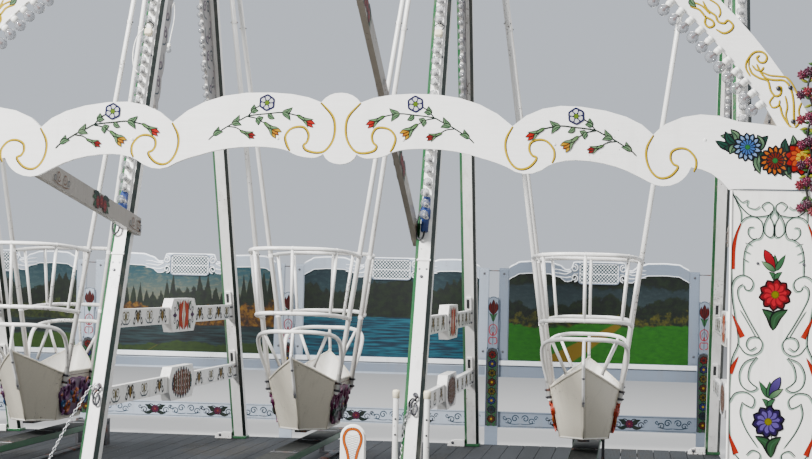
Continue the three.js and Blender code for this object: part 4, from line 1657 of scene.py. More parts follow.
        # The board's grey is grey-white paint darkened by painted shade.
        shape.add(plate(outline, self.board_thick, 3), Finishes.carved_grey_with_painted_shade, place)
        for turned_round, face in ((False, place @ at(0, 0, self.board_thick)), (True, place @ turned(math.pi, "Y"))):
            art = Ornament(mirror=turned_round)
            for k in range(bays):
                v = (k + 0.5) * length / bays
                turn = (-1) ** k
                wide = self.narrowing((k + 1) / bays)
                art.spiral((92 * wide, v), 58 * wide, 0.4, 1.3 * turn, 13, SLATE)
                art.spiral((186 * wide, v + 30 * turn), 46 * wide, 2.4, -1.3 * turn, 12, PURPLE)
                inner = [(40, v - 90), (66, v - 20), (40, v + 60), (60, v + 84)]
                outer = [(150, v - 86), (226, v - 40), (236, v + 20), (214, v + 80)]
                art.line([(u * wide, h) for u, h in inner], 11, PURPLE if k % 2 else SLATE)
                art.line([(u * wide, h) for u, h in outer], 11, SLATE)
            art.onto(shape, face)
        shape.show(f"frame_board_{end}_{number}", "root")
        rng = random.Random(number)
        ends = edge[2:-6]
        count = int(length * 0.86 / self.small_pitch)
        places = []
        for k in range(count):
            share = k / count * (len(ends) - 1)
            a, b = ends[int(share)], ends[int(share) + 1]
            spot = Vector(a).lerp(Vector(b), share % 1)
            tilt = turned(rng.uniform(-0.3, 0.3), "X")
            places.append(place @ along_x(spot.x - 4, spot.y, 12) @ tilt)
        lamps = Shape()
        if front:
            for here in places:
                lamps.add(lathe([(7, 0), (11, 4), (11, 14), (0.01, 17)], 8), Finishes.socket, here, smooth=True)
            places = [place @ at(240, -60, 12) @ turned(QUARTER, "X")]
            if number == MIDDLE_FRAME:
                bulb = place @ at(360, 560, 12)
                places.append(bulb @ turned(QUARTER, "X"))
                wire = [(262, 760, 12), (330, 900, 14), (390, 800, 14), (372, 640, 12), (360, 560, 12)]
                lamps.add(tube(smooth_line([place @ Vector(p) for p in wire], 5), 4, 6), Finishes.socket)
        lamps.stamp(self.lamps.one(0.8), places)
        lamps.show(f"frame_board_lamps_{end}_{number}", "root")

    def build(self) -> None:
        """Builds everything on the A-frames."""
        for number, x in enumerate(FRAME_X, 1):
            self.dress(f"a_frame_{number}", Finishes.frame)
            self.dress(f"ground_beam_{number}", Finishes.timber)
            self.fittings(x, number)
            self.lamp_string(x, number)
            self.tie_art(x, number)
            self.chain(x, number)
            for front in (True, False):
                self.carved_board(x, number, front)


@dataclass
class Front(Assembly):
    """The painted front: scalloped boards, pillars, lamp arches and entrance posts."""

    notches: tuple[Point, ...] = ((94, 2275), (813, 2172), (1464, 2140))
    vine_middles: tuple[Point, ...] = ((-387, 2179), (-1140, 2130))
    board_thick: float = 30.0
    arch_centre: float = 983.0
    arch_inner: float = 2360.0
    arch_outer: float = 2508.0
    lamp_pitch: float = 63.0
    first_lamp: float = 0.59
    bolt_out: float = 99.5
    arch_curls: int = 9
    first_curl: float = 0.87
    post_y: float = -4597.0
    pillar_x: float = 4120.0
    garland_x: float = 4268.0
    brace_foot: Point = (-1500.0, 1741.0)
    brace_top: Point = (-5154.0, 3420.0)
    low_brace_foot: Point = (-1500.0, 1776.0)
    low_brace_top: Point = (-5154.0, 2250.0)
    brace_thick: float = 36.0
    lamps: Lamps = field(default_factory=Lamps)

    VOLUTE = (
        (0, 0), (-28, -52), (-33, -99), (-19, -150), (9, -186), (42, -199), (79, -189), (107, -161), (112, -142),
        (93, -133), (79, -110), (84, -77), (117, -60), (158, -66), (191, -103), (196, -140), (186, -168),
    )
    MIDDLE_VOLUTE = (
        (0, 0), (-56, -61), (-70, -118), (-61, -178), (-28, -224), (14, -237), (65, -226), (79, -203), (61, -184),
        (56, -151), (75, -120), (107, -115), (144, -127), (168, -164), (158, -206), (144, -230),
    )

    PILLAR_SCROLLS = (
        (4, (-194, 1881), (-166, 1822), (-152, 1786), (-151, 1744)),
        (4, (-185, 1868), (-152, 1813), (-102, 1773), (-43, 1774), (-12, 1788), (-8, 1820), (-31, 1838), (-58, 1819),
         (-44, 1797)),
        (3, (-180, 1868), (-148, 1836), (-121, 1846), (-125, 1818), (-89, 1805), (-67, 1819)),
        (4, (-151, 1744), (-129, 1765), (-93, 1771), (-61, 1751), (-51, 1710), (-64, 1673), (-96, 1668), (-118, 1690),
         (-114, 1718), (-92, 1723)),
        (4, (-6, 1793), (-20, 1770), (-8, 1743), (-2, 1711), (-8, 1683), (-24, 1678), (-47, 1701), (-43, 1746),
         (-21, 1783), (-6, 1802)),
        (4.5, (-151, 1744), (-177, 1680), (-190, 1615), (-194, 1546), (-190, 1468), (-184, 1386), (-171, 1305),
         (-155, 1195), (-181, 1121), (-192, 1020), (-194, 929), (-190, 793), (-169, 680)),
        (4, (-78, 1672), (-118, 1644), (-135, 1594), (-138, 1497)),
        (3, (-131, 1649), (-100, 1640)),
        (3, (-135, 1612), (-108, 1602)),
        (3, (-139, 1575), (-116, 1565)),
        (4, (-190, 1441), (-176, 1483), (-142, 1502), (-106, 1489), (-92, 1462), (-105, 1434), (-128, 1438),
         (-133, 1456)),
        (4, (-137, 1461), (-159, 1442), (-159, 1401), (-135, 1347), (-98, 1279), (-57, 1212)),
        (3, (-149, 1342), (-116, 1288), (-75, 1216)),
        (4, (-155, 1186), (-128, 1150), (-91, 1138), (-56, 1157), (-47, 1194), (-70, 1220), (-106, 1215), (-119, 1183),
         (-101, 1160), (-74, 1175)),
        (4, (-69, 1129), (-122, 1105), (-148, 1054), (-139, 1000), (-98, 973), (-66, 988), (-89, 1006), (-108, 1032),
         (-100, 1087), (-69, 1129)),
        (4, (-192, 920), (-165, 962), (-116, 968), (-79, 938), (-87, 901), (-115, 909), (-133, 922)),
        (4, (-133, 922), (-141, 867), (-113, 795), (-62, 720)),
        (4, (-169, 693), (-137, 658), (-92, 646), (-52, 666), (-53, 693), (-84, 705), (-111, 682)),
        (4.5, (-180, 640), (-160, 560), (-172, 470), (-150, 380), (-170, 290), (-150, 180), (-168, 90)),
        (4, (-60, 620), (-110, 560), (-118, 480), (-84, 430), (-52, 450), (-62, 486)),
        (4, (-150, 380), (-112, 346), (-72, 356), (-56, 392), (-80, 412)),
        (4, (-150, 180), (-110, 210), (-70, 190), (-62, 150), (-92, 136)),
    )
    ARCH_SCROLLS = (
        (6, (1893, 2466), (1893, 2503), (1919, 2531), (1955, 2531), (1974, 2508), (1965, 2485), (1943, 2485),
         (1929, 2503), (1942, 2517)),
        (6, (1893, 2466), (1907, 2434), (1944, 2411), (1980, 2398), (1994, 2352), (2017, 2329), (2039, 2339),
         (2039, 2371), (2017, 2366)),
        (6, (1929, 2476), (1943, 2444), (1971, 2412), (2011, 2403), (2056, 2400), (2084, 2362), (2097, 2307),
         (2100, 2238), (2104, 2193)),
        (6, (2036, 2288), (2050, 2238), (2082, 2192), (2104, 2179)),
        (5, (1950, 2440), (1990, 2424), (2030, 2420), (2066, 2414), (2094, 2380), (2118, 2330)),
        (5, (2010, 2330), (1990, 2300), (2004, 2276), (2030, 2284), (2036, 2310)),
        (5, (1906, 2520), (1884, 2490), (1880, 2456), (1900, 2420)),
        (5, (2060, 2330), (2070, 2280), (2064, 2240), (2076, 2200)),
        (5, (2104, 2180), (2128, 2214), (2122, 2262), (2134, 2300)),
        (5, (1908, 2470), (1926, 2450), (1950, 2446), (1962, 2462)),
        (6, (1621, 2742), (1662, 2728), (1690, 2696), (1722, 2678), (1731, 2655), (1709, 2645), (1690, 2664),
         (1694, 2696)),
        (6, (1679, 2766), (1698, 2729), (1735, 2701), (1749, 2673), (1777, 2664), (1795, 2678), (1818, 2655),
         (1809, 2632), (1777, 2618), (1741, 2636)),
        (5, (1700, 2780), (1744, 2752), (1760, 2716), (1752, 2690)),
        (5, (1640, 2760), (1676, 2744), (1712, 2706)),
    )

    def vine(self, art: Ornament, middle: Point) -> None:
        """A flowering vine round a middle.

        Args:
            art: the work it joins.
            middle: its middle on the board.
        """

        def p(*points: Point) -> list[Vector]:
            """Points moved to the middle."""
            return painted(points, middle)

        stem = p(
            (-248, -89), (-224, -66), (-179, -37), (-138, -12), (-93, 10), (-60, 27), (-11, 35), (39, 40), (105, 46),
            (172, 34), (201, 24),
        )
        art.line(stem, 6.5, STEM, 4, 0.7)
        art.line(p((-60, 25), (-44, 45), (-28, 62), (3, 81)), 6, STEM, 4, 0.7)
        art.line(p((-159, -23), (-117, -28), (-88, -44)), 6, STEM, 4, 0.7)
        art.line(p((-60, 25), (-18, 17), (18, -4)), 6, STEM, 4, 0.7)
        for base, tips in (
            ((-226, -68), ((-199, -23), (-177, -49))),
            ((-138, -12), ((-100, 33), (-88, -17))),
            ((-44, 45), ((-30, 84), (-8, 53))),
            ((39, 40), ((71, 16),)),
            ((105, 46), ((156, 71), (146, 8))),
            ((-18, 17), ((16, 24), (-8, -16))),
        ):
            art.leaf_pair(p(base)[0], p(*tips))
        art.daisy(p((32, 92))[0], 41, 6, WHITE, BLUE_LINE, colour("6a8a1c"), 0.45, 9)
        art.bud(*p((176, 36), (262, -16)), 46, ((RED, colour("d8281c")), (RED, colour("d8281c"))))
        art.bud(*p((-98, -42), (-22, -72)), 40, ((colour("8a1a2c"), RED), (colour("6d1626"), RED)))
        art.bud(*p((18, 0), (92, -62)), 50, ((ORANGE, YELLOW), (YELLOW, ORANGE), (ORANGE, YELLOW)))

    def bouquet(self, art: Ornament) -> None:
        """The flowers on the outer end of a module's boards.

        Args:
            art: where they are painted.
        """
        deep = colour("1c4a3a")
        for base, tips in (
            ((1850, 2096), ((1746, 2116), (1768, 2140), (1790, 2160), (1815, 2170), (1784, 2084), (1812, 2054))),
            ((1950, 2070), ((1925, 1978), (1952, 1964), (1985, 2142), (1936, 2146), (1970, 1990))),
            ((2080, 2050), ((2062, 2132), (2096, 2148), (2050, 1956), (2092, 1940), (2076, 1962))),
            ((2150, 2040), ((2150, 2132), (2196, 2100), (2180, 1950))),
        ):
            for k, tip in enumerate(tips):
                art.blade(base, tip, 42, deep, BLACK, BLACK, 0.14 * (-1) ** k, 0.9, 7, LEAF_PALE if k % 2 else deep)
        for centre, radius, petals, outer, inner in (
            ((1893, 2088), 68, 13, colour("8aa9d6"), colour("4a6fae")),
            ((2018, 2028), 72, 14, colour("c8641c"), colour("7a200a")),
        ):
            art.daisy(centre, radius, petals, outer, BLACK, colour("1f6a3c"), 0.2, 9.0)
            art.daisy(centre, radius * 0.6, petals, inner, BLACK, colour("2f7a3c"), 0.2, 4.5)
        art.daisy((2140, 2042), 84, 11, colour("a80c0c"), colour("1c0404"), YELLOW, 0.1, 9.0)
        art.daisy((2140, 2042), 62, 11, colour("c8501c"), colour("7a0c0c"), YELLOW, 0.38, 6.0)
        art.daisy((2140, 2042), 34, 8, YELLOW, colour("a81414"), colour("8a3c0c"), 0.2, 3.0)

    def fascia(self, side: int) -> None:
        """Paints the boards of one module.

        Args:
            side: -1 for the left module.
        """
        place = side_name(side)
        self.dress(f"fascia_{place}", Finishes.front)
        shape = Shape()
        board = facing_front(side * BAY, FRONT_Y, DECK)
        for half in (-1, 1):
            art = Ornament(mirror=half > 0)
            for middle in self.vine_middles:
                self.vine(art, middle)
            art.onto(shape, board)
            gold = Ornament(mirror=half < 0)
            for k, notch in enumerate(self.notches):
                gold.gilt(painted(self.VOLUTE if k else self.MIDDLE_VOLUTE, notch), 12)
            gold.onto(shape, board)
            if half == side:
                end = Ornament(mirror=half < 0)
                self.bouquet(end)
                end.onto(shape, board)
        for u, v in ((300, 2102), (1010, 2090), (1700, 2120)):
            for half in (-1, 1):
                head = lathe([(7, 0), (7, 1.5), (5, 3), (0.01, 3.6)], 10)
                shape.add(head, Finishes.front, board @ at(half * u, v, 0))
        shape.show(f"fascia_art_{place}", "root")

    def garland(self, side: int) -> None:
        """Small carved flowers that hang down over the outer end of the boards.

        Args:
            side: -1 for the left end.
        """
        rng = random.Random(5)
        shape = Shape()
        x = side * self.garland_x
        path = [(20, 2470), (-10, 2360), (16, 2260), (-8, 2150), (14, 2040), (-10, 1930), (6, 1800)]
        stem = [Vector((x + side * u, FRONT_Y - 8, DECK + v)) for u, v in path]
        shape.add(tube(smooth_line(stem, 4), 5, 8), Finishes.carving, paint=LEAF_DARK)
        for k, (u, v) in enumerate(smooth_line(path, 4)):
            for s in (-1, 1):
                leaf = carved_leaf(30 + 10 * (k % 2), 15, colour("a3a82c") if k % 2 else CALYX)
                turn = turned(s * (1.2 + rng.uniform(-0.4, 0.4)) + (math.pi if k % 3 else 0), "Z")
                shape.add(leaf, Finishes.carving, facing_front(x + side * u, FRONT_Y - 2, DECK + v) @ turn)
        for k, v in enumerate((2422, 2330, 2216, 2102, 2010, 1918, 1813)):
            for n in range(3):
                tone = colours("6a0c34", "4a0a2c", "7d1428")[(k + n) % 3]
                u, lift = (-34 + 30 * n + rng.uniform(-6, 6), v + (0, 16, -14)[n])
                here = facing_front(x + side * u, FRONT_Y - 5 - 2 * n, DECK + lift)
                carved_flower(shape, here, 25, 8, tone, shade(tone, 0.4), rng.uniform(0, 1))
                carved_flower(shape, here @ at(0, 0, 7), 15, 6, shade(tone, 1.5), shade(tone, 0.4), rng.uniform(0, 1))
        shape.show(f"garland_{side_name(side)}", "root")

    def pillar_art(self, name: str, x: float) -> None:
        """Scrolls and flowers on one pillar, mirrored about its middle.

        Args:
            name: left, middle or right.
            x: the pillar's middle.
        """
        self.dress(f"pillar_{name}", Finishes.pillar)
        shape = Shape()
        green = colour("2c4a40")
        for half in (-1, 1):
            art = Ornament(mirror=half > 0)
            for width, *points in self.PILLAR_SCROLLS:
                art.line([(u + 5, v - 5) for u, v in points], 7, colour("b9d3c0"), 4, 0.6)
                art.line(points, width * 1.15, shade(green, 0.4), 4, 0.6)
            for points in (
                ((-150, 1740), (-172, 1680), (-184, 1610), (-188, 1528)), ((-184, 1322), (-160, 1270), (-136, 1218)),
                ((-152, 1130), (-170, 1096), (-190, 1052)), ((-196, 790), (-176, 736), (-156, 686)),
                ((-160, 610), (-170, 560), (-166, 500)), ((-180, 350), (-170, 290), (-150, 240)),
            ):
                art.wedge(points, 26, colour("b02a14"))
            art.onto(shape, facing_front(x, FRONT_Y, DECK))
        middle = Ornament()
        for start, end in ((1573, 1262), (995, 700), (520, 260)):
            middle.line([(0, start), (4, (start + end) / 2), (0, end)], 4.5, STEM, 4, 0.7)
        petal = colours("c8303c", "8a0a18")
        violet = colours("6a58a0", "26124c")
        for v, lean, (pale, deep) in ((1415, -1, petal), (836, 1, violet), (400, -1, petal)):
            c = -14 if lean > 0 else 8
            for s in (-1, 1):
                middle.blade((0, v - 164), (c + s * 58, v - 66), 50, colour("2c5230"), LEAF_DARK, LEAF, 0.2 * s, 0.9, 8)
                middle.blade((c, v + 60), (c + s * 30, v + 104), 26, LEAF, LEAF_DARK, None, 0.16 * s, 0.8, 4)
                middle.blade((c, v + 108), (c + s * 24 - lean * 20, v + 184), 28, LEAF, LEAF_DARK, None, 0, 0.7, 4)
            middle.blade((c, v + 110), (c + lean * 52, v + 206), 44, deep, LEAF_DARK, None, 0, 1.2, 5, pale)
            middle.blade((c, v + 106), (c + lean * 64, v + 152), 30, LEAF, LEAF_DARK, None, 0, 0.8, 4, LEAF_PALE)
            middle.daisy((c, v), 76, 10, deep, shade(deep, 0.1), colour("8a8220"), 0.2, 9.0)
            middle.daisy((c, v), 60, 10, pale, deep, colour("8a8220"), 0.2, 7.0)
        middle.line([(-198, 1893), (0, 1894), (198, 1893)], 4, SLATE, 3)
        middle.onto(shape, facing_front(x, FRONT_Y, DECK))
        for u in (-72, 134):
            for v in (1556, 330):
                shape.bolt(facing_front(x + u, FRONT_Y, DECK + v), 5, 5, 12)
        for s in (-1, 1):
            bead = [(x + s * 196, FRONT_Y - 2, 195), (x + s * 196, FRONT_Y - 2, DECK + 1888)]
            shape.add(tube(bead, 5, 8), Finishes.pillar)
        shape.show(f"pillar_art_{name}", "root")

    def arch_point(self, radius: float, angle: float) -> Vector:
        """A point on the arch, with heights above the deck."""
        return Vector((radius * math.cos(angle), self.arch_centre + radius * math.sin(angle)))

    def arch(self, side: int) -> None:
        """Gold scrolls, lamps and bolts on one lamp arch.

        Args:
            side: -1 for the left module.
        """
        place = side_name(side)
        self.dress(f"lamp_arch_{place}", Finishes.front)
        x = side * BAY
        y = FRONT_Y + self.board_thick + SEAT_GAP
        shape = Shape()
        middle = (self.arch_inner + self.arch_outer) / 2
        count = self.arch_curls
        for half in (-1, 1):
            art = Ornament(mirror=half < 0)
            for width, *points in self.ARCH_SCROLLS:
                art.gilt(points, width * 1.9)
            art.blade((1610, 2780), (1674, 2800), 40, LEAF, LEAF_DARK, LEAF_DARK, 0.1, outline=4, glow=LEAF_PALE)
            art.blade((1620, 2776), (1650, 2738), 30, LEAF, LEAF_DARK, LEAF_DARK, -0.1, outline=4, glow=LEAF_PALE)
            for k in range(count):
                angle = self.first_curl + (QUARTER - self.first_curl) * k / (count - 1)
                if k == count - 1 and half > 0:
                    continue
                centre = self.arch_point(middle + (14 if k % 2 else -14), angle)
                tangent = angle + QUARTER
                art.spiral(centre, 38, tangent, 1.25 if k % 2 else -1.25, 10, GOLD)
                a = self.arch_point(middle - 40, angle + 0.018)
                b = self.arch_point(middle + 44, angle + 0.05)
                c = self.arch_point(middle - 20, angle + 0.082)
                art.line([a, (a + b) / 2 + Vector((-10, 12)), b, c], 5, GOLD, 3, 0.4)
                d = self.arch_point(middle + 6, angle + 0.03)
                e = self.arch_point(middle - 4, angle + 0.06)
                art.blade(d, e, 18, YELLOW, GOLD, None, 0.1)
            art.onto(shape, facing_front(x, y, DECK))
        for s in (-1, 1):
            for u, v in ((2030, 2362), (2084, 2367), (2098, 2211)):
                dome = lathe([(11, 0), (11, 2), (8, 7), (4, 9), (0.01, 10)], 12)
                shape.add(dome, Finishes.clamp, facing_front(x + s * u, y, DECK + v), smooth=True)
        shape.show(f"arch_art_{place}", "root")
        lamps = Shape()
        lamp = self.lamps.one(1.0, warm=True)
        span = math.pi - 2 * self.first_lamp
        count = int(span * self.arch_inner / self.lamp_pitch)
        places = []
        rng = random.Random(8 + side)
        wire = []
        for k in range(count + 1):
            angle = self.first_lamp + span * k / count
            here = self.arch_point(self.arch_inner + 2, angle)
            spot = Vector((x + here.x, y + 6, DECK + here.y))
            inward = Vector((-math.cos(angle), -0.18, -math.sin(angle))).normalized()
            inward += Vector([rng.uniform(-0.06, 0.06) for _ in range(3)])
            places.append(move_to(spot) @ aim(inward))
            wire.append(spot + Vector((0, 4, 0)) - inward * 10)
        lamps.stamp(lamp, places)
        lamps.add(tube(smooth_line(wire, 2), 4, 5), Finishes.socket)
        lamps.show(f"arch_lamps_{place}", "root")

    def post_art(self, side: int) -> None:
        """Curved orange stripes on an entrance post.

        Args:
            side: -1 for the left module.
        """
        place = side_name(side)
        self.dress(f"entrance_post_{place}", Finishes.pillar)
        shape = Shape()
        art = Ornament()
        for k in range(26):
            for s in (-1, 1):
                v = 664 - k * 12
                half = 34 - 20 * min(1.0, k / 12) if k < 13 else 14
                art.line([(-s * half, v), (s * half, v - 20)], 1.4, colour("8a8f94"), 1, 1.0)
        for s in (-1, 1):
            waist = [(0, 692), (s * 26, 684), (s * 43, 656), (s * 42, 622), (s * 26, 574), (s * 17, 520), (s * 17, 440)]
            waist += [(s * 17, 360), (s * 26, 300), (s * 42, 250), (s * 43, 214), (s * 26, 186), (0, 178)]
            art.line(waist, 15, colour("6d2a10"), 6, 1.0)
            art.line(waist, 10, colour("e0702c"), 6, 1.0)
        art.onto(shape, facing_front(side * BAY, self.post_y - 20, DECK))
        half, neck = 58.5, 644.5
        rim = [(-half, 0)]
        for k in range(13):
            angle = math.pi * k / 12
            rim.append((-half * math.cos(angle), neck + half * math.sin(angle)))
        rim.append((half, 0))
        edge = [Vector((side * BAY + u, self.post_y, DECK + 4 + v)) for u, v in rim]
        shape.add(tube(edge, 7, 8), Finishes.pillar)
        shape.show(f"entrance_post_art_{place}", "root")

    def brace_art(self, x: float, number: int) -> None:
        """Painted flowers on the board from a leg to the front.

        Args:
            x: the frame's plane.
            number: the frame's number.
        """
        # The brace's dark grey-brown is its paint plus painted shade.
        self.dress(f"front_brace_{number}", Finishes.brace_grey_with_painted_shade)
        side = -1 if x > 0 else 1
        to_arch = number % 2 == 0
        start = Vector(self.brace_foot if to_arch else self.low_brace_foot)
        run = Vector(self.brace_top if to_arch else self.low_brace_top) - start
        shape = Shape()
        length = run.length
        for face in (-1, 1):
            out = x + side * (LEG_HALF + self.brace_thick / 2 + SEAT_GAP) + face * self.brace_thick / 2
            ahead = Vector((0, run.x, run.y)).normalized()
            normal = Vector((face, 0, 0))
            right = ahead if face < 0 else -ahead
            up = normal.cross(right)
            middle = start + run * 0.5
            place = at(out, middle.x, DECK + middle.y) @ axes(right, up, normal)
            art = Ornament()
            toward = 1 if right.y > 0 else -1
            for centre in (-0.2, 0.24):
                c = centre * length * toward
                for s in (-1, 1):
                    for k, (du, dv) in enumerate(((190, 8), (170, 44), (170, -44), (120, 52), (120, -52))):
                        deep = colour("14382a") if k % 2 else LEAF
                        art.blade((c + 40 * s, dv * 0.3), (c + du * s, dv), 44, deep, BLACK, BLACK, 0.1 * s, 0.9, 5)
                for s in (-1, 0, 1):
                    spot = (c + s * 74, 8 * (-1) ** s)
                    art.daisy(spot, 46, 8, *colours("8a1c1c", "2c0606"), BROWN_LINE, s, 4.0)
                    art.daisy(spot, 26, 6, *colours("b8342c", "4c0c0c"), BROWN_LINE, s, 3.0)
            for share in (-0.44, 0.02, 0.46):
                c = share * length * toward
                for s in (-1, 1):
                    art.spiral((c + s * 60, 8), 40, math.pi if s > 0 else 0, 1.3 * s, 7, colour("8a5a34"))
                    art.spiral((c + s * 130, -12), 26, 0 if s > 0 else math.pi, 1.2, 6, SLATE)
                    art.line([(c, -40), (c + s * 50, -44), (c + s * 150, -34)], 5, colour("8a5a34"))
            art.onto(shape, place)
        for share in (0.01, 0.99):
            spot = start + run * share
            for dv in (-30, 30):
                shape.bolt(facing_side(x + side * self.bolt_out, spot.x, DECK + spot.y + dv, side), 9, 9)
        shape.show(f"front_brace_art_{number}", "root")

    def build(self) -> None:
        """Builds the whole front."""
        for side in (-1, 1):
            self.fascia(side)
            self.garland(side)
            self.arch(side)
            self.post_art(side)
        for name, x in (("left", -self.pillar_x), ("middle", 0.0), ("right", self.pillar_x)):
            self.pillar_art(name, x)
        for number, x in enumerate(FRAME_X, 1):
            self.brace_art(x, number)


def carved_leaf(length: float, width: float, paint: Colour) -> Mesh:
    """A domed leaf that grows along Y from the origin and stands out along Z.

    Args:
        length: its length.
        width: its width.
        paint: its colour.

    Returns:
        The mesh.
    """
    bm = bmesh.new()
    layer = bm.loops.layers.float_color.new("paint")
    bmesh.ops.create_grid(bm, x_segments=4, y_segments=6, size=1.0)
    for vert in bm.verts:
        t = (vert.co.y + 1) / 2
        breadth = width / 2 * max(0.06, math.sin(math.pi * t**0.8))
        ridge = 1 - abs(vert.co.x)
        dome = width * 0.22 * ridge**0.7 * math.sin(math.pi * min(1, t * 1.1))
        vert.co = (vert.co.x * breadth, t * length, 3 + dome + 5 * t)
    for face in bm.faces:
        face.smooth = True
        t = min(1.0, face.calc_center_median().y / length)
        tone = Vector(shade(paint, 0.6)).lerp(Vector(shade(paint, 1.3)), t)
        tint(face, layer, tone)
    bmesh.ops.recalc_face_normals(bm, faces=bm.faces)
    if sum(f.normal.z for f in bm.faces) < 0:
        bmesh.ops.reverse_faces(bm, faces=bm.faces)
    edge = [e for e in bm.edges if e.is_boundary]
    made = bmesh.ops.extrude_edge_only(bm, edges=edge)["geom"]
    for vert in (g for g in made if isinstance(g, bmesh.types.BMVert)):
        vert.co.z = -1
    for face in bm.faces:
        for loop in face.loops:
            if loop[layer][3] == 0.0:
                loop[layer] = (*shade(paint, 0.5), 1.0)
    bmesh.ops.recalc_face_normals(bm, faces=bm.faces)
    return bm


def carved_flower(
    shape: Shape, place: Matrix, radius: float, petals: int, tone: Colour, heart: Colour, start: float = 0.0
) -> None:
    """A carved flower on a plane.

    Args:
        shape: the piece it joins.
        place: its middle.
        radius: its radius.
        petals: their number.
        tone: their colour.
        heart: colour of the middle.
        start: angle of the first petal.
    """
    for k in range(petals):
        turn = turned(start + TURN * k / petals, "Z")
        shape.add(carved_leaf(radius, 1.9 * radius * math.sin(math.pi / petals), tone), Finishes.carving, place @ turn)
    centre = lathe([(radius * 0.34, 0), (radius * 0.34, 6), (radius * 0.22, 13), (0.01, 15)], 10)
    shape.add(centre, Finishes.carving, place, heart, True)


@dataclass(frozen=True)
class BoatColours:
    """Colours of the carving on one boat."""

    main: Colour
    second: Colour
    third: Colour


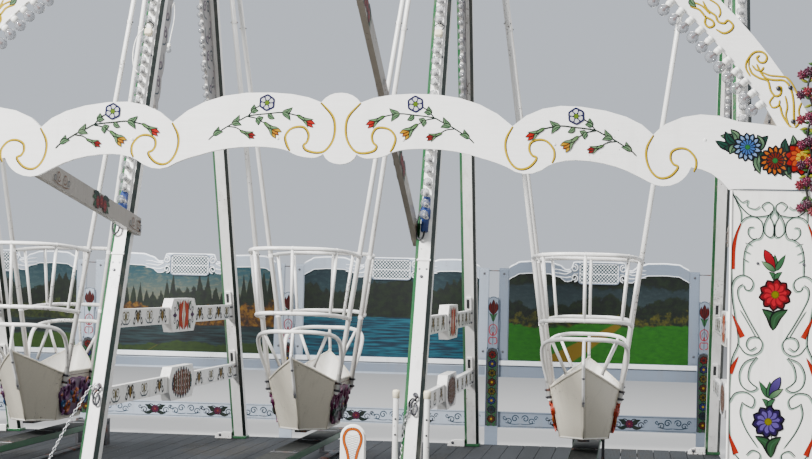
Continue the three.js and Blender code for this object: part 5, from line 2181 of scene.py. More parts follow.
@dataclass
class Boats(Assembly):
    """The four boats: hull, carving and hanger."""

    bottom: float = 325.0
    gunwale: float = 690.0
    tip: float = 866.0
    bottom_half: Point = (180.0, 295.0, 462.0)
    top_half: Point = (248.0, 385.0, 820.0)
    wall: float = 9.0
    rod: float = 19.0
    rod_foot: float = 600.0
    rod_out: Point = (336.0, 22.0)
    clamp_heights: tuple[float, ...] = (615.0, 668.0)
    ring_heights: tuple[float, ...] = (1152.0, 1620.0, 3400.0)
    rail: float = 15.0
    rails: tuple[Point, ...] = ((1660.0, 880.0), (1192.0, 862.0))
    bar: float = 12.0
    bar_shares: tuple[float, ...] = (0.14, 0.3, 0.5, 0.7, 0.86)
    colours: tuple[BoatColours, ...] = (
        BoatColours(*colours("2f5f8a", "b9642f", "d8b545")),
        BoatColours(*colours("7a3d78", "b9642f", "3f6ea3")),
        BoatColours(*colours("7a1c5a", "8a8f92", "2a4a3c")),
        BoatColours(*colours("e0481c", "c8341c", "c0652c")),
    )

    def skin_point(self, t: float, h: float, side: int) -> Vector:
        """A point on the outer skin.

        Args:
            t: from -1 at one tip to 1 at the other.
            h: from 0 at the bottom to 1 at the rim.
            side: -1 for the left side.

        Returns:
            The point, with heights above the deck.
        """

        def station(half: Point, low: float, high: float) -> Vector:
            """Where the edge of that level is.

            Args:
                half: half width, half length of the straight part and half length.
                low: height at the middle.
                high: height at the tip.

            Returns:
                The place.
            """
            a = abs(t)
            sign = 1 if t > 0 else -1
            knee = 0.46
            if a <= knee:
                return Vector((half[0], sign * half[1] * a / knee, low))
            s = (a - knee) / (1 - knee)
            bulge = math.sin(math.pi * s) * 0.035
            reach = half[1] + (half[2] - half[1]) * (s + bulge * 0.4)
            return Vector((half[0] * (1 - s + bulge), sign * reach, low + (high - low) * s))

        under = station(self.bottom_half, self.bottom, self.bottom)
        over = station(self.top_half, self.gunwale, self.tip)
        spot = under.lerp(over, h)
        return Vector((side * spot.x, spot.y, spot.z))

    def skin(self, shape: Shape, inset: float, finish: Finish, flip: bool, low: float = 0.0, high: float = 1.0) -> None:
        """One skin of the hull, both sides.

        Args:
            shape: the piece it joins.
            inset: how far it lies inside the outer skin.
            finish: its finish.
            flip: whether it faces inwards.
            low: where it starts, as a share of the height.
            high: where it ends.
        """
        bm = bmesh.new()
        columns, rows = 34, 6
        for side in (-1, 1):
            made = bmesh.ops.create_grid(bm, x_segments=columns, y_segments=rows, size=1.0)["verts"]
            for vert in made:
                t, h = vert.co.x, low + (high - low) * (vert.co.y + 1) / 2
                spot = self.skin_point(t, h, side)
                reach = 1 - inset / 215 * (1 - 0.35 * abs(t))
                vert.co = (spot.x * reach, spot.y * (1 - inset * 1.1 / 500), spot.z + (inset * 0.8 if h < 0.05 else 0))
        bmesh.ops.remove_doubles(bm, verts=bm.verts, dist=0.6)
        for face in bm.faces:
            face.smooth = True
        for face in bm.faces:
            face.normal_update()
            centre = face.calc_center_median()
            outward = Vector((centre.x, centre.y * 0.3, 0))
            if (face.normal.dot(outward) < 0) != flip:
                face.normal_flip()
        shape.add(bm, finish)

    def hull(self, x: float, number: int) -> None:
        """Sheet-metal hull with rims, seams, rivets, floor and keel.

        Args:
            x: the boat's middle.
            number: the boat's number.
        """
        shape = Shape()
        self.skin(shape, 0, Finishes.hull, False)
        self.skin(shape, self.wall, Finishes.inside, True, 0.02)
        for side in (-1, 1):
            rim = [self.skin_point(-1 + 2 * k / 48, 1.0, side) + Vector((-side * 3, 0, 0)) for k in range(49)]
            shape.add(tube(rim, 9, 8), Finishes.hull)
            out = Vector((side * 1.0, 0, 0))
            under = [self.skin_point(-0.44 + 0.88 * k / 20, 0.925, side) + out for k in range(21)]
            shape.add(tube(under, 6, 6, flat=0.5), Finishes.underrim)
            chine = [self.skin_point(-1 + 2 * k / 40, 0.0, side) for k in range(41)]
            shape.add(tube(chine, 5, 6), Finishes.hull)
            for t in (-0.46, 0.46):
                seam = [self.skin_point(t, k / 6, side) for k in range(7)]
                shape.add(tube(seam, 3, 6), Finishes.hull)
                for k in range(1, 8):
                    spot = self.skin_point(t + (0.04 if t > 0 else -0.04), k / 8, side)
                    shape.add(ball(3.4, 6, 4), Finishes.hull, at(spot.x, spot.y, spot.z))
        for s in (-1, 1):
            stem = [self.skin_point(s * 1.0, k / 6, 1) for k in range(7)]
            shape.add(tube(stem, 7, 8), Finishes.hull)
            cap = self.skin_point(s * 1.0, 1.0, 1)
            shape.add(ball(14, 10, 6), Finishes.hull, at(0, cap.y - s * 4, cap.z))
        floor = [self.skin_point(-1 + k / 8, 0.03, 1)[:2] for k in range(17)]
        floor += [(-px, py) for px, py in reversed(floor[1:-1])]
        shape.add(plate(floor, 8), Finishes.inside, at(0, 0, self.bottom))
        for k in range(-3, 4):
            tone = shade(colour("7b7468"), 0.8 + 0.07 * (k % 3))
            shape.add(block((300, 46, 14), 2), Finishes.board, at(0, k * 66, self.bottom + 17), tone)
        shape.add(block((88, 800, 26), 4), Finishes.dark_steel, at(0, 0, self.bottom - 12))
        for s in (-1, 1):
            bench = [(-176, 0), (176, 0), (118, 130), (-118, 130)]
            turn = at(0, s * 296, 548) @ turned(0 if s > 0 else math.pi, "Z")
            shape.add(plate(bench, 16, 4), Finishes.board, turn, colour("8a3a26"))
            shape.add(block((352, 14, 60), 3), Finishes.inside, at(0, s * 300, 518))
        self.carving(shape, number)
        whole = Shape()
        whole.stamp(shape, [at(x, 0, DECK)])
        shape.bm.free()
        whole.show(f"boat_hull_skin_{number}", f"boat_{number}", [f"boat_hull_{number}"])

    def scroll_width(self, t: float) -> float:
        """Width of a carved scroll, which thins out towards its inner end."""
        return 0.55 + 0.45 * math.sin(math.pi * min(1, t + 0.25))

    def carving(self, shape: Shape, number: int) -> None:
        """Carved scrolls and flowers on both sides of a hull.

        Args:
            shape: the piece it joins.
            number: the boat's number.
        """
        tones = self.colours[number - 1]
        slope = math.atan((self.top_half[0] - self.bottom_half[0]) / (self.gunwale - self.bottom))
        half = [
            (355, 20), (338, 66), (295, 76), (262, 128), (200, 128), (100, 145), (0, 138), (-100, 145), (-200, 128),
            (-262, 128), (-295, 76), (-338, 66), (-355, 20), (-325, -26), (-285, -60), (-240, -118), (-150, -142),
            (-70, -158), (0, -150), (70, -158), (150, -142), (240, -118), (285, -60), (325, -26),
        ]
        outline = smooth_line(half, 3, True)
        wall = (self.top_half[0] + self.bottom_half[0]) / 2
        for side in (-1, 1):
            place = (
                at(side * (wall - 2), 0, (self.bottom + self.gunwale) / 2 - 5)
                @ turned(side * slope, "Y")
                @ facing_side(0, 0, 0, side)
            )
            shape.add(plate(outline, 22, 6), Finishes.carving, place, shade(tones.main, 0.75))
            front = place @ at(0, 0, 21)
            for s in (-1, 1):
                for centre, radius, turns, size, tone in (
                    ((s * 250, 30), 74, 1.4 * s, 13, tones.main),
                    ((s * 150, -70), 62, -1.3 * s, 12, tones.second),
                    ((s * 118, 74), 56, 1.2 * s, 11, tones.main),
                    ((s * 262, -40), 42, -1.2 * s, 9, tones.third),
                ):
                    line = coil(centre, radius, 0.4 if s > 0 else math.pi - 0.4, TURN * turns, 0.18, 26)
                    scroll = tube([(*p, 4) for p in line], lambda t, w=size: w * self.scroll_width(t), 8)
                    shape.add(scroll, Finishes.carving, front, tone)
                for u, v, angle, length, width, tone in (
                    (60, 10, -1.2, 96, 40, tones.third), (56, -24, -2.0, 96, 40, tones.third),
                    (200, 78, -0.5, 70, 30, tones.second), (318, 22, -1.6, 40, 26, tones.second),
                    (190, -96, -2.3, 70, 30, tones.main), (60, 96, -0.9, 60, 26, tones.main),
                    (70, -112, -2.1, 62, 28, tones.main), (300, 50, -0.4, 36, 22, tones.third),
                ):
                    turn = turned(s * angle, "Z")
                    shape.add(carved_leaf(length, width, tone), Finishes.carving, front @ at(s * u, v, 0) @ turn)
            carved_flower(shape, front, 66, 8, tones.second, tones.third, 0.2)
            carved_flower(shape, front @ at(0, 0, 10), 36, 6, tones.main, YELLOW, 0.5)

    def rod_at(self, height: float, sx: int, sy: int) -> Vector:
        """Where the axis of a hanger rod is.

        Args:
            height: above the deck.
            sx: -1 for the left rods.
            sy: -1 for the front rods.

        Returns:
            The point, with heights above the deck.
        """
        foot = self.top_half[0] + self.rod - 0.9 - 12.4
        share = (height - self.rod_foot) / (AXLE - self.rod_foot)
        low, high = self.rod_out
        return Vector((sx * (foot + (HUB_X - foot) * share), sy * (low + (high - low) * share), height))

    def rail_line(self, height: float, reach: float, end: int) -> list[Vector]:
        """Middle line of a rail round one end of the cage.

        Args:
            height: its greatest height above the deck.
            reach: how far it goes out.
            end: -1 for the front end.

        Returns:
            Its places.
        """
        rod = self.rod_at(height - 40, 1, end)
        knots = []
        for k in range(13):
            angle = math.pi * k / 12
            across = -math.copysign(abs(math.cos(angle)) ** (2 / 3), math.cos(angle))
            out = max(0.0, math.sin(angle)) ** (2 / 3)
            knots.append(Vector((rod.x * across, rod.y + (end * reach - rod.y) * out, rod.z + 40 * out)))
        return smooth_line(knots, 3)

    def hanger(self, x: float, number: int) -> None:
        """Rods, rails, bars, hoops, clamps and hubs of one boat.

        Args:
            x: the boat's middle.
            number: the boat's number.
        """
        shape = Shape()
        white = Finishes.white
        for sx in (-1, 1):
            for sy in (-1, 1):
                low, high = self.rod_at(self.rod_foot + 2, sx, sy), self.rod_at(AXLE - 30, sx, sy)
                shape.add(tube([low, low.lerp(high, 0.5), high], self.rod, 12), white)
                shape.add(ball(self.rod, 12, 6), white, move_to(low))
                for height in self.clamp_heights:
                    spot = self.rod_at(height, sx, sy)
                    collar = lathe([(self.rod - 1, -9), (self.rod + 4, -8), (self.rod + 4, 8), (self.rod - 1, 9)], 14)
                    shape.add(collar, Finishes.clamp, along(spot, self.rod_at(height + 100, sx, sy)))
                    shape.bolt(facing_side(spot.x + sx * (self.rod + 3), spot.y, spot.z, sx), 7, 9)
                for height in self.ring_heights:
                    spot = self.rod_at(height, sx, sy)
                    ring = lathe([(self.rod - 1, -13), (self.rod + 3, -12), (self.rod + 3, 12), (self.rod - 1, 13)], 14)
                    shape.add(ring, white, along(spot, self.rod_at(height + 100, sx, sy)))
                    for way in (-1, 1):
                        stud = facing_side(spot.x + way * (self.rod + 1), spot.y, spot.z, way)
                        shape.bolt(stud, 5.5, 7, finish=Finishes.clamp)
            hub = lathe([(37, -30), (58, -30), (58, 30), (37, 30)], 28)
            shape.add(hub, white, along_x(sx * HUB_X, 0, AXLE))
            flange = lathe([(38, -3), (52, -3), (52, 3), (38, 3)], 28)
            shape.add(flange, Finishes.steel, along_x(sx * (HUB_X - 32), 0, AXLE))
        for end in (-1, 1):
            upper, lower = (self.rail_line(height, reach, end) for height, reach in self.rails)
            hoop = self.hoop_line(end)
            for line in (upper, lower, hoop):
                shape.add(tube(line, self.rail, 10), white)
            for t in self.bar_shares:
                a, b = on_line(upper, t), on_line(lower, t)
                shape.add(tube([a, b], self.bar, 8), white)
                for spot in (a, b):
                    shape.add(ball(self.rail + 2.5, 8, 6), white, move_to(spot))
            self.struts(shape, end, hoop)
        whole = Shape()
        whole.stamp(shape, [at(x, 0, DECK)])
        shape.bm.free()
        whole.show(f"boat_cage_{number}", f"boat_{number}", [f"boat_hanger_{number}"])

    def hoop_line(self, end: int) -> list[Vector]:
        """Middle line of the low hoop round one end.

        Args:
            end: -1 for the front end.

        Returns:
            Its places.
        """
        foot = self.rod_at(720, 1, end)
        half = [(185, 732, 1052), (292, 590, 1012), (306, 470, 902)]
        knots = [Vector((-foot.x, foot.y, foot.z))]
        knots += [Vector((-a, end * b, c)) for a, b, c in reversed(half)]
        knots += [Vector((0, end * 790, 1057))]
        knots += [Vector((a, end * b, c)) for a, b, c in half]
        knots += [foot]
        return smooth_line(knots, 6)

    def struts(self, shape: Shape, end: int, hoop: list[Vector]) -> None:
        """Bars from the low hoop to the bow.

        Args:
            shape: the piece they join.
            end: -1 for the front end.
            hoop: the hoop's line.
        """
        foot = self.bottom_half[2]
        slope = (self.top_half[2] - foot) / (self.tip - self.bottom)

        def stem(height: float) -> Vector:
            """A place in front of the stem."""
            return Vector((0, end * (foot + (height - self.bottom) * slope + self.bar + 3), height))

        top = on_line(hoop, 0.5)
        bend = stem(self.tip + 14)
        knots = [top, bend.lerp(top, 0.12), bend, stem(self.tip - 40), stem(575)]
        shape.add(tube(smooth_line(knots, 3), self.bar, 8), Finishes.white)
        for height in (600, 780):
            spot = stem(height)
            shape.bolt(at(0, spot.y + end * 9, height) @ turned(-end * QUARTER, "X"), 8, 10)
        for sx in (-1, 1):
            a = on_line(hoop, 0.5 + sx * 0.17)
            b = Vector((sx * 128, end * 604, 804))
            shape.add(tube([a, b], self.bar, 8), Finishes.white)
            shape.add(ball(self.rail + 2, 8, 6), Finishes.white, move_to(a))
            shape.bolt(along_x(b.x + sx * 6, b.y + end * 4, b.z, sx), 8, 8)

    def build(self) -> None:
        """Builds the four boats."""
        for number, x in enumerate(BAY_X, 1):
            self.hull(x, number)
            self.hanger(x, number)


def on_line(line: Sequence[Vector], share: float) -> Vector:
    """The place at a share of a line's length.

    Args:
        line: its places.
        share: from 0 to 1.

    Returns:
        The place.
    """
    lengths = [(b - a).length for a, b in zip(line, line[1:])]
    left = sum(lengths) * share
    for (a, b), length in zip(zip(line, line[1:]), lengths):
        if left <= length:
            return a.lerp(b, left / length)
        left -= length
    return line[-1]


@dataclass
class Deck(Assembly):
    """Deck boards that run from the front to the back."""

    front: float = -5134.0
    back: float = 2500.0
    end: float = 4260.0
    board_thick: float = 34.0
    pitch: float = 142.0
    gap: float = 4.0
    joint_range: Point = (-3600.0, 1400.0)
    shortest: float = 900.0

    def build(self) -> None:
        """Lays the boards of both halves."""
        rng = random.Random(21)
        for side, place in ((-1, "left"), (1, "right")):
            shape = Shape()
            count = round((self.end - 0.5) / self.pitch)
            width = (self.end - 0.5) / count
            for k in range(count):
                middle = side * (0.5 + (k + 0.5) * width)
                joints = sorted(rng.uniform(*self.joint_range) for _ in range(2))
                stops = [self.front, joints[0], max(joints[1], joints[0] + self.shortest), self.back]
                for a, b in zip(stops, stops[1:]):
                    tone = rng.uniform(0.82, 1.12)
                    board = block((width - self.gap, b - a - 3, self.board_thick), 2.5)
                    spot = at(middle, (a + b) / 2, DECK - self.board_thick / 2)
                    shape.add(board, Finishes.deck, spot, (tone, tone, tone * 1.02))
                    for y in (a + 40, b - 40):
                        for du in (-40, 40):
                            screw = lathe([(5, 0), (5, 0.6), (0.01, 0.9)], 8)
                            shape.add(screw, Finishes.bolt, at(middle + du, y, DECK))
            for y in [self.front + 40 + i * (self.back - self.front - 80) / 8 for i in range(9)]:
                shape.add(block((self.end - 4, 78, 25), 2), Finishes.timber, at(side * self.end / 2, y, DECK - 47.5))
            edge = at(side * self.end / 2, self.front - 4, DECK - 31)
            shape.add(block((self.end - 2, 24, 58), 2), Finishes.board, edge, colour("47515a"))
            shape.show(f"deck_boards_{place}", "root", [f"deck_{place}"])


@dataclass
class Brakes(Assembly):
    """Brake frames, planks and levers."""

    shaft_y: float = -2200.0
    shaft_z: float = 133.0
    offset: float = 100.0

    def lever(self, x: float, number: int) -> None:
        """Lever with its grip, shaft, collars and cam.

        Args:
            x: middle of the bay.
            number: the bay's number.
        """
        side = int(math.copysign(1, BAY - abs(x)) * math.copysign(1, x))
        lever_x = x + side * (BAY / 2 - self.offset)
        z = DECK + self.shaft_z
        shape = Shape()
        rod = [(0.01, -26), (24, -24), (24, 24), (19, 30), (19, 566)]
        shape.add(lathe(rod, 14), Finishes.white, at(lever_x, self.shaft_y, z))
        grip = [(19, 562), (23, 565), (24, 600), (21, 613), (0.01, 617)]
        shape.add(lathe(grip, 16), Finishes.grip, at(lever_x, self.shaft_y, z), smooth=True)
        for height in (430, 330):
            shape.bolt(facing_front(lever_x, self.shaft_y - 18.5, z + height), 5, 4, 8, finish=Finishes.clamp)
        inner = x - side * 40
        outer = lever_x + side * 30
        shaft = [(across, self.shaft_y, z) for across in (inner, (inner + outer) / 2, outer)]
        shape.add(tube(shaft, 20, 16), Finishes.steel)
        for spot in (lever_x, x + side * 43):
            collar = lathe([(20, -15), (31, -15), (31, 15), (20, 15)], 18)
            shape.add(collar, Finishes.dark_steel, along_x(spot, self.shaft_y, z))
        cam = smooth_line([(-20, -15), (120, -15), (236, -12), (254, 0), (236, 12), (120, 15), (-20, 15)], 2)
        shape.add(plate(cam, 76, 2), Finishes.dark_steel, facing_side(x - 38, self.shaft_y, z, 1))
        shape.show(f"lever_and_cam_{number}", f"lever_{number}", [f"brake_lever_{number}"])

    def plank(self, x: float, number: int) -> None:
        """Green edges, straps and bolts on the plank.

        Args:
            x: middle of the bay.
            number: the bay's number.
        """
        shape = Shape()
        for s in (-1, 1):
            shape.add(block((5, 3280, 44), 1.5), Finishes.green, at(x + s * 100.5, -345, DECK + 185))
        for y in (-1900, -1000, 0, 900, 1180):
            shape.add(block((196, 60, 4), 1.5), Finishes.dark_steel, at(x, y, DECK + 211))
            for du in (-74, 74):
                shape.bolt(at(x + du, y, DECK + 213), 9, 8)
        shape.show(f"plank_fittings_{number}", f"plank_{number}")

    def build(self) -> None:
        """Builds the brakes."""
        for number, x in enumerate(BAY_X, 1):
            self.dress(f"brake_frame_{number}", Finishes.dark_steel)
            self.dress(f"brake_plank_{number}", Finishes.plank)
            self.lever(x, number)
            self.plank(x, number)


@dataclass
class Fence(Assembly):
    """The painted fence behind the boats."""

    half: float = 1048.0
    inner: float = 900.0
    stile: float = 950.0
    picture_low: float = 676.0
    picture_inset: float = 4.0
    knots: tuple[Point, ...] = (
        (0, 1672), (203, 1672), (248, 1672), (276, 1596), (330, 1593), (400, 1640), (500, 1668), (650, 1672),
        (790, 1664), (860, 1630), (900, 1603), (1048, 1603),
    )
    cartouche_half: float = 203.0
    cartouche_low: float = 1463.0
    cartouche_high: float = 1672.0
    cartouche_corner: float = 36.0

    def crest(self, u: float) -> float:
        """Height of the board's upper edge.

        Args:
            u: distance from the bay's middle.

        Returns:
            The height above the deck.
        """
        u = abs(u)
        knots = self.knots
        for (a, h), (b, k) in zip(knots, knots[1:]):
            if u <= b:
                t = (u - a) / (b - a)
                return h + (k - h) * t * t * (3 - 2 * t)
        return knots[-1][1]

    def bay(self, x: float, number: int) -> None:
        """Everything on one bay.

        Args:
            x: middle of the bay.
            number: the bay's number.
        """
        # Painted shade: the fourth bay gets the darker blue-grey copy of the fence paint, the other bays the pale one.
        tone = Finishes.fence if number == 4 else Finishes.fence_pale
        self.dress(f"fence_{number}", tone)
        face = FENCE_FACE + 5
        shape = Shape()
        reach = self.inner - self.picture_inset
        picture = [(-reach, self.picture_low), (reach, self.picture_low)]
        us = [reach - k * 2 * reach / 60 for k in range(61)]
        picture += [(u, self.crest(u) - 108) for u in us]
        shape.add(plate(picture, 3), Finishes.pictures[number - 1], facing_front(x, face, DECK))
        us = [-self.inner + k * 2 * self.inner / 80 for k in range(81)]
        top = [(u, self.crest(u) + 1) for u in us] + [(u, self.crest(u) - 116) for u in reversed(us)]
        shape.add(plate(top, 9, 2), tone, facing_front(x, face, DECK))
        bead = [Vector((x + u, face - 10, DECK + self.crest(u) - 112)) for u in us]
        shape.add(tube(bead, 4, 6), Finishes.fence_white)
        cap = [Vector((x + u, FENCE_FACE + 14, DECK + self.crest(u) + 2)) for u in us]
        shape.add(tube(cap, 7, 6, flat=1.8), Finishes.fence_white)
        shape.add(block((2 * self.half, 8, 46), 3), Finishes.fence_white, at(x, FENCE_FACE - 6, DECK + 648))
        # Painted shadow under the white rail: a thin black strip, and below it the board in the darker blue-grey,
        # partly its blue-grey paint and partly painted shade.
        shape.add(block((2 * self.half, 5, 6), 1), Finishes.black, at(x, FENCE_FACE - 5, DECK + 618))
        shape.add(block((2 * self.half - 150, 4, 84), 1), Finishes.fence, at(x, FENCE_FACE - 3, DECK + 566))
        for s in (-1, 1):
            stile_x = x + s * self.stile
            shape.add(block((88, 6, 900), 2), tone, at(stile_x, FENCE_FACE - 2, DECK + 1140))
            for height in (1545, 760):
                shape.bolt(facing_front(stile_x, FENCE_FACE - 5, DECK + height), 9, 8, 8)
        self.cartouche(shape, x)
        low = Ornament()
        for centre, bold in ((-760, False), (-330, True), (0, False), (330, True), (760, False)):
            for s in (-1, 1):
                tone = BLACK if bold else SLATE
                low.spiral((centre + s * 52, 92), 38, math.pi if s > 0 else 0, -1.3 * s, 10, tone)
                low.spiral((centre + s * 112, 64), 34, 0 if s > 0 else math.pi, 1.2 * s, 9, tone)
                low.spiral((centre + s * 158, 100), 22, 0, 1.1 * s, 8, tone)
                low.line([(centre, 40), (centre + s * 70, 36), (centre + s * 150, 52)], 7, tone)
                if bold:
                    for du, v, width, bend in ((110, 118, 42, 0.1), (116, 34, 38, -0.1)):
                        root, tip = (centre + s * 20, 60), (centre + s * du, v)
                        low.blade(root, tip, width, colour("1c2a24"), BLACK, BLACK, bend * s)
            if bold:
                low.daisy((centre, 76), 44, 8, colour("5c1c3c"), BLACK, colour("8a3a3c"), 0.2, 5.0)
        for v in (14, 146):
            low.line([(-1040, v), (0, v), (1040, v)], 4, BLACK, 3)
        low.onto(shape, facing_front(x, FENCE_FACE, DECK))
        shape.show(f"fence_art_{number}", "root")

    def cartouche(self, shape: Shape, x: float) -> None:
        """Lattice shield in the middle of the crest with scrolls and ribs at its sides.

        Args:
            shape: the piece it joins.
            x: middle of the bay.
        """
        face = FENCE_FACE - 5
        half, low, high, corner = self.cartouche_half, self.cartouche_low, self.cartouche_high, self.cartouche_corner
        reach, top, bottom = half - corner, high - corner, low + corner
        outline = []
        for quarter, (cu, cv) in enumerate(((reach, top), (-reach, top), (-reach, bottom), (reach, bottom))):
            for k in range(5):
                angle = math.radians(90 * quarter + 22.5 * k)
                outline.append((cu + corner * math.cos(angle), cv + corner * math.sin(angle)))
        shape.add(plate(outline, 8, 2), Finishes.fence_white, facing_front(x, face + 8, DECK))
        ring = [Vector((x + u, face - 2, DECK + v)) for u, v in outline]
        shape.add(tube(ring, 7, 8, closed=True), Finishes.fence)
        lattice = Ornament()
        wide, tall = 11, 5
        u0, u1, v0, v1 = -half + 18, half - 18, low + 16, high - 16
        du = (u1 - u0) / wide
        for k in range(-tall, wide + tall):
            for rising in (1, -1):
                a_u, a_v = u0 + k * du, v0 if rising > 0 else v1
                b_u, b_v = a_u + tall * du, v1 if rising > 0 else v0
                start, run = Vector((a_u, a_v)), Vector((b_u - a_u, b_v - a_v))
                t0, t1 = max(0.0, (u0 - a_u) / run.x), min(1.0, (u1 - a_u) / run.x)
                if t1 - t0 > 0.02:
                    lattice.line([start + run * t0, start + run * t1], 9, colour("1c4a52"), 2, 1.0)
        lattice.onto(shape, facing_front(x, face, DECK))
        for s in (-1, 1):
            for v, turns in ((1618, 1.3), (1520, -1.3)):
                line = coil((x + s * 244, DECK + v), 38, math.copysign(QUARTER, turns), TURN * turns * s, 0.28, 21)
                shape.add(tube([(p.x, face - 4, p.y) for p in line], 7, 6), Finishes.fence_white)
            for k, (a, b) in enumerate(((1640, 1600), (1585, 1565), (1530, 1530))):
                strand = [(s * 275, a), (s * 330, b - 8), (s * 400, b), (s * 470, b + 6)]
                line = [Vector((x + u, face + 1, DECK + min(v, self.crest(u) - 10))) for u, v in strand]
                shape.add(tube(smooth_line(line, 4), lambda t: 9 * (1 - 0.7 * t), 6), Finishes.fence_white)

    def post(self, x: float, number: int) -> None:
        """Painted flowers on the post between two bays.

        Args:
            x: the frame's plane.
            number: the frame's number.
        """
        shape = Shape()
        upper = FENCE_FACE - 30
        lower = FENCE_FACE - 44
        art = Ornament()
        rim = [(-50, 790), (-50, 1262), (-36, 1296), (0, 1310), (36, 1296), (50, 1262), (50, 790)]
        art.line(rim, 5, SLATE, 4, 1.0)
        art.blade((0, 1120), (0, 1285), 54, colour("4a1418"), BLACK, colour("2a0c10"), 0, 1.0, 5, colour("6a2a24"))
        for s in (-1, 1):
            art.blade((0, 1130), (s * 32, 1262), 34, colour("5c1c1c"), BLACK, None, -0.12 * s, 1.0, 5)
            art.blade((0, 1060), (s * 42, 1150), 30, LEAF, LEAF_DARK, LEAF_DARK, 0.14 * s)
            art.line([(0, 1040), (s * 36, 1010), (s * 34, 950), (s * 8, 924), (s * 4, 960)], 10, colour("c8545c"), 4)
            art.line([(0, 900), (s * 34, 900), (s * 38, 850), (s * 10, 836)], 10, colour("c8545c"), 4)
            art.line([(s * 6, 1010), (s * 22, 980), (s * 18, 950)], 5, colour("7a1c2c"), 4)
        art.line([(0, 1130), (0, 1000), (0, 820)], 5, LEAF_DARK)
        art.onto(shape, facing_front(x, upper, DECK))
        ground = [(-58, 16), (58, 16), (58, 742), (44, 780), (0, 797), (-44, 780), (-58, 742)]
        shape.add(plate(ground, 1.5), Finishes.black, facing_front(x, lower, DECK))
        low = Ornament()
        low.line([(-58, 20), (-58, 740), (-42, 782), (0, 798), (42, 782), (58, 740), (58, 20)], 5, SLATE, 4, 1.0)
        tones = (RED, *colours("3c3f8a", "8a7a1c", "7a3a14", "8a7a1c", "3c4f9a"), SLATE, colour("7a3a14"))
        for k, tone in enumerate(tones):
            v = 730 - 92 * k
            for s in (-1, 1):
                low.blade((s * 8, v - 50), (s * 54, v - 22), 30, LEAF, BLACK, LEAF_DARK, 0.12 * s)
                low.blade((s * 8, v - 50), (s * 50, v - 62), 24, LEAF, BLACK, LEAF_DARK, -0.12 * s)
            low.daisy((0, v), 44, 7, shade(tone, 0.45), BLACK, shade(YELLOW, 0.6) if k % 2 else BLACK, 0.2 * k, 8.0)
        low.onto(shape, facing_front(x, lower - 1.5, DECK))
        rod = [(x - 60, FENCE_FACE + 4, DECK + 1575), (x + 60, FENCE_FACE + 4, DECK + 1575)]
        shape.add(tube(rod, 5, 8), Finishes.dark_steel)
        shape.show(f"fence_post_art_{number}", "root")

    def build(self) -> None:
        """Builds the fence."""
        for number, x in enumerate(BAY_X, 1):
            self.bay(x, number)
        for number, x in enumerate(FRAME_X, 1):
            self.post(x, number)


@dataclass
class Axle(Assembly):
    """The ridge axle."""

    end_x: float = 4352.0
    pin_x: float = 4312.0

    def build(self) -> None:
        """Collars, split pins and end caps."""
        self.dress("ridge_axle", Finishes.steel)
        shape = Shape()
        z = DECK + AXLE
        for x in BAY_X:
            for s in (-1, 1):
                collar = lathe([(35, -9), (50, -9), (52, -6), (52, 6), (50, 9), (35, 9)], 24)
                spot = x + s * (HUB_X - 62)
                shape.add(collar, Finishes.dark_steel, along_x(spot, 0, z))
                shape.bolt(at(spot, 0, z + 51), 6, 8)
        for s in (-1, 1):
            cap = lathe([(0.01, 0), (20, 2), (30, 8), (35, 8)], 20)
            shape.add(cap, Finishes.dark_steel, along_x(s * self.end_x, 0, z, s))
            pin = [(s * self.pin_x, y, z) for y in (-62, 62)]
            shape.add(tube(pin, 5, 8), Finishes.bolt)
        shape.show("axle_collars", "root")


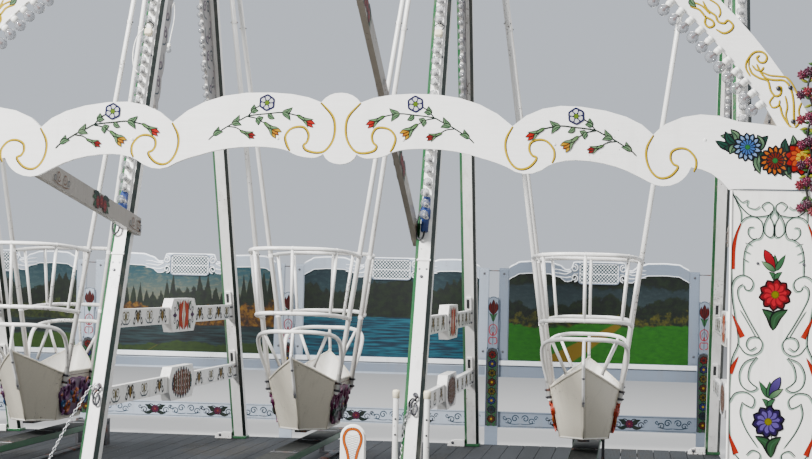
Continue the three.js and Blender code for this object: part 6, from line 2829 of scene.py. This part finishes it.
@dataclass
class Studio:
    """Camera, floor and light."""

    eye: Point = (3.4785, -13.4870, 1.6800)
    yaw: float = 0.126884
    pitch: float = 0.0301062
    roll: float = 0.0226455
    lens: float = 78.87
    ground: Colour = (0.36, 0.355, 0.345)
    sky: Colour = (0.8, 0.86, 0.95)
    sky_strength: float = 0.78
    aim_at: Point = (0.0, 0.0, 2.0)
    lights: tuple[tuple[str, Point, float, float], ...] = (
        ("key light", (-9, -14, 13), 15000, 4), ("top light", (3, 4, 15), 3600, 9),
    )

    def camera(self) -> None:
        """The camera of the photo."""
        ahead = Vector((-math.sin(self.yaw), math.cos(self.yaw), 0))
        right = Vector((math.cos(self.yaw), math.sin(self.yaw), 0))
        up = Vector((0, 0, 1))
        look = ahead * math.cos(self.pitch) + up * math.sin(self.pitch)
        over = up * math.cos(self.pitch) - ahead * math.sin(self.pitch)
        x = right * math.cos(self.roll) + over * math.sin(self.roll)
        y = over * math.cos(self.roll) - right * math.sin(self.roll)
        data = bpy.data.cameras.new("camera")
        data.lens = self.lens
        data.sensor_width = 36
        data.clip_end = 200
        made = bpy.data.objects.new("camera", data)
        made.matrix_world = move_to(self.eye) @ axes(x, y, -look)
        bpy.context.scene.collection.objects.link(made)
        bpy.context.scene.camera = made

    def build(self) -> None:
        """Floor, world and soft lights."""
        self.camera()
        bm = bmesh.new()
        bmesh.ops.create_grid(bm, x_segments=1, y_segments=1, size=60)
        mesh = bpy.data.meshes.new("floor")
        bm.to_mesh(mesh)
        bm.free()
        surface = Surface("studio floor")
        mesh.materials.append(surface.finish(Base_Color=self.ground, Roughness=0.9))
        floor = bpy.data.objects.new("floor", mesh)
        bpy.context.scene.collection.objects.link(floor)
        world = bpy.data.worlds.new("studio")
        bpy.context.scene.world = world
        world.use_nodes = True
        background = world.node_tree.nodes["Background"].inputs
        background[0].default_value = (*self.sky, 1)
        background[1].default_value = self.sky_strength
        for name, spot, power, size in self.lights:
            light = bpy.data.lights.new(name, "AREA")
            light.energy = power
            light.size = size
            made = bpy.data.objects.new(name, light)
            made.matrix_world = move_to(spot) @ aim(Vector(self.aim_at) - Vector(spot), "-Z")
            bpy.context.scene.collection.objects.link(made)


def main() -> None:
    """Builds the ride piece by piece."""
    logging.basicConfig(level=logging.INFO, format="%(message)s")
    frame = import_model()
    for kind in (Frames, Front, Boats, Deck, Brakes, Fence, Axle):
        LOG.info("building %s", kind.__name__)
        kind(frame["nodes"]).build()
    Studio().build()
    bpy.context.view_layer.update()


if __name__ == "__main__":
    main()
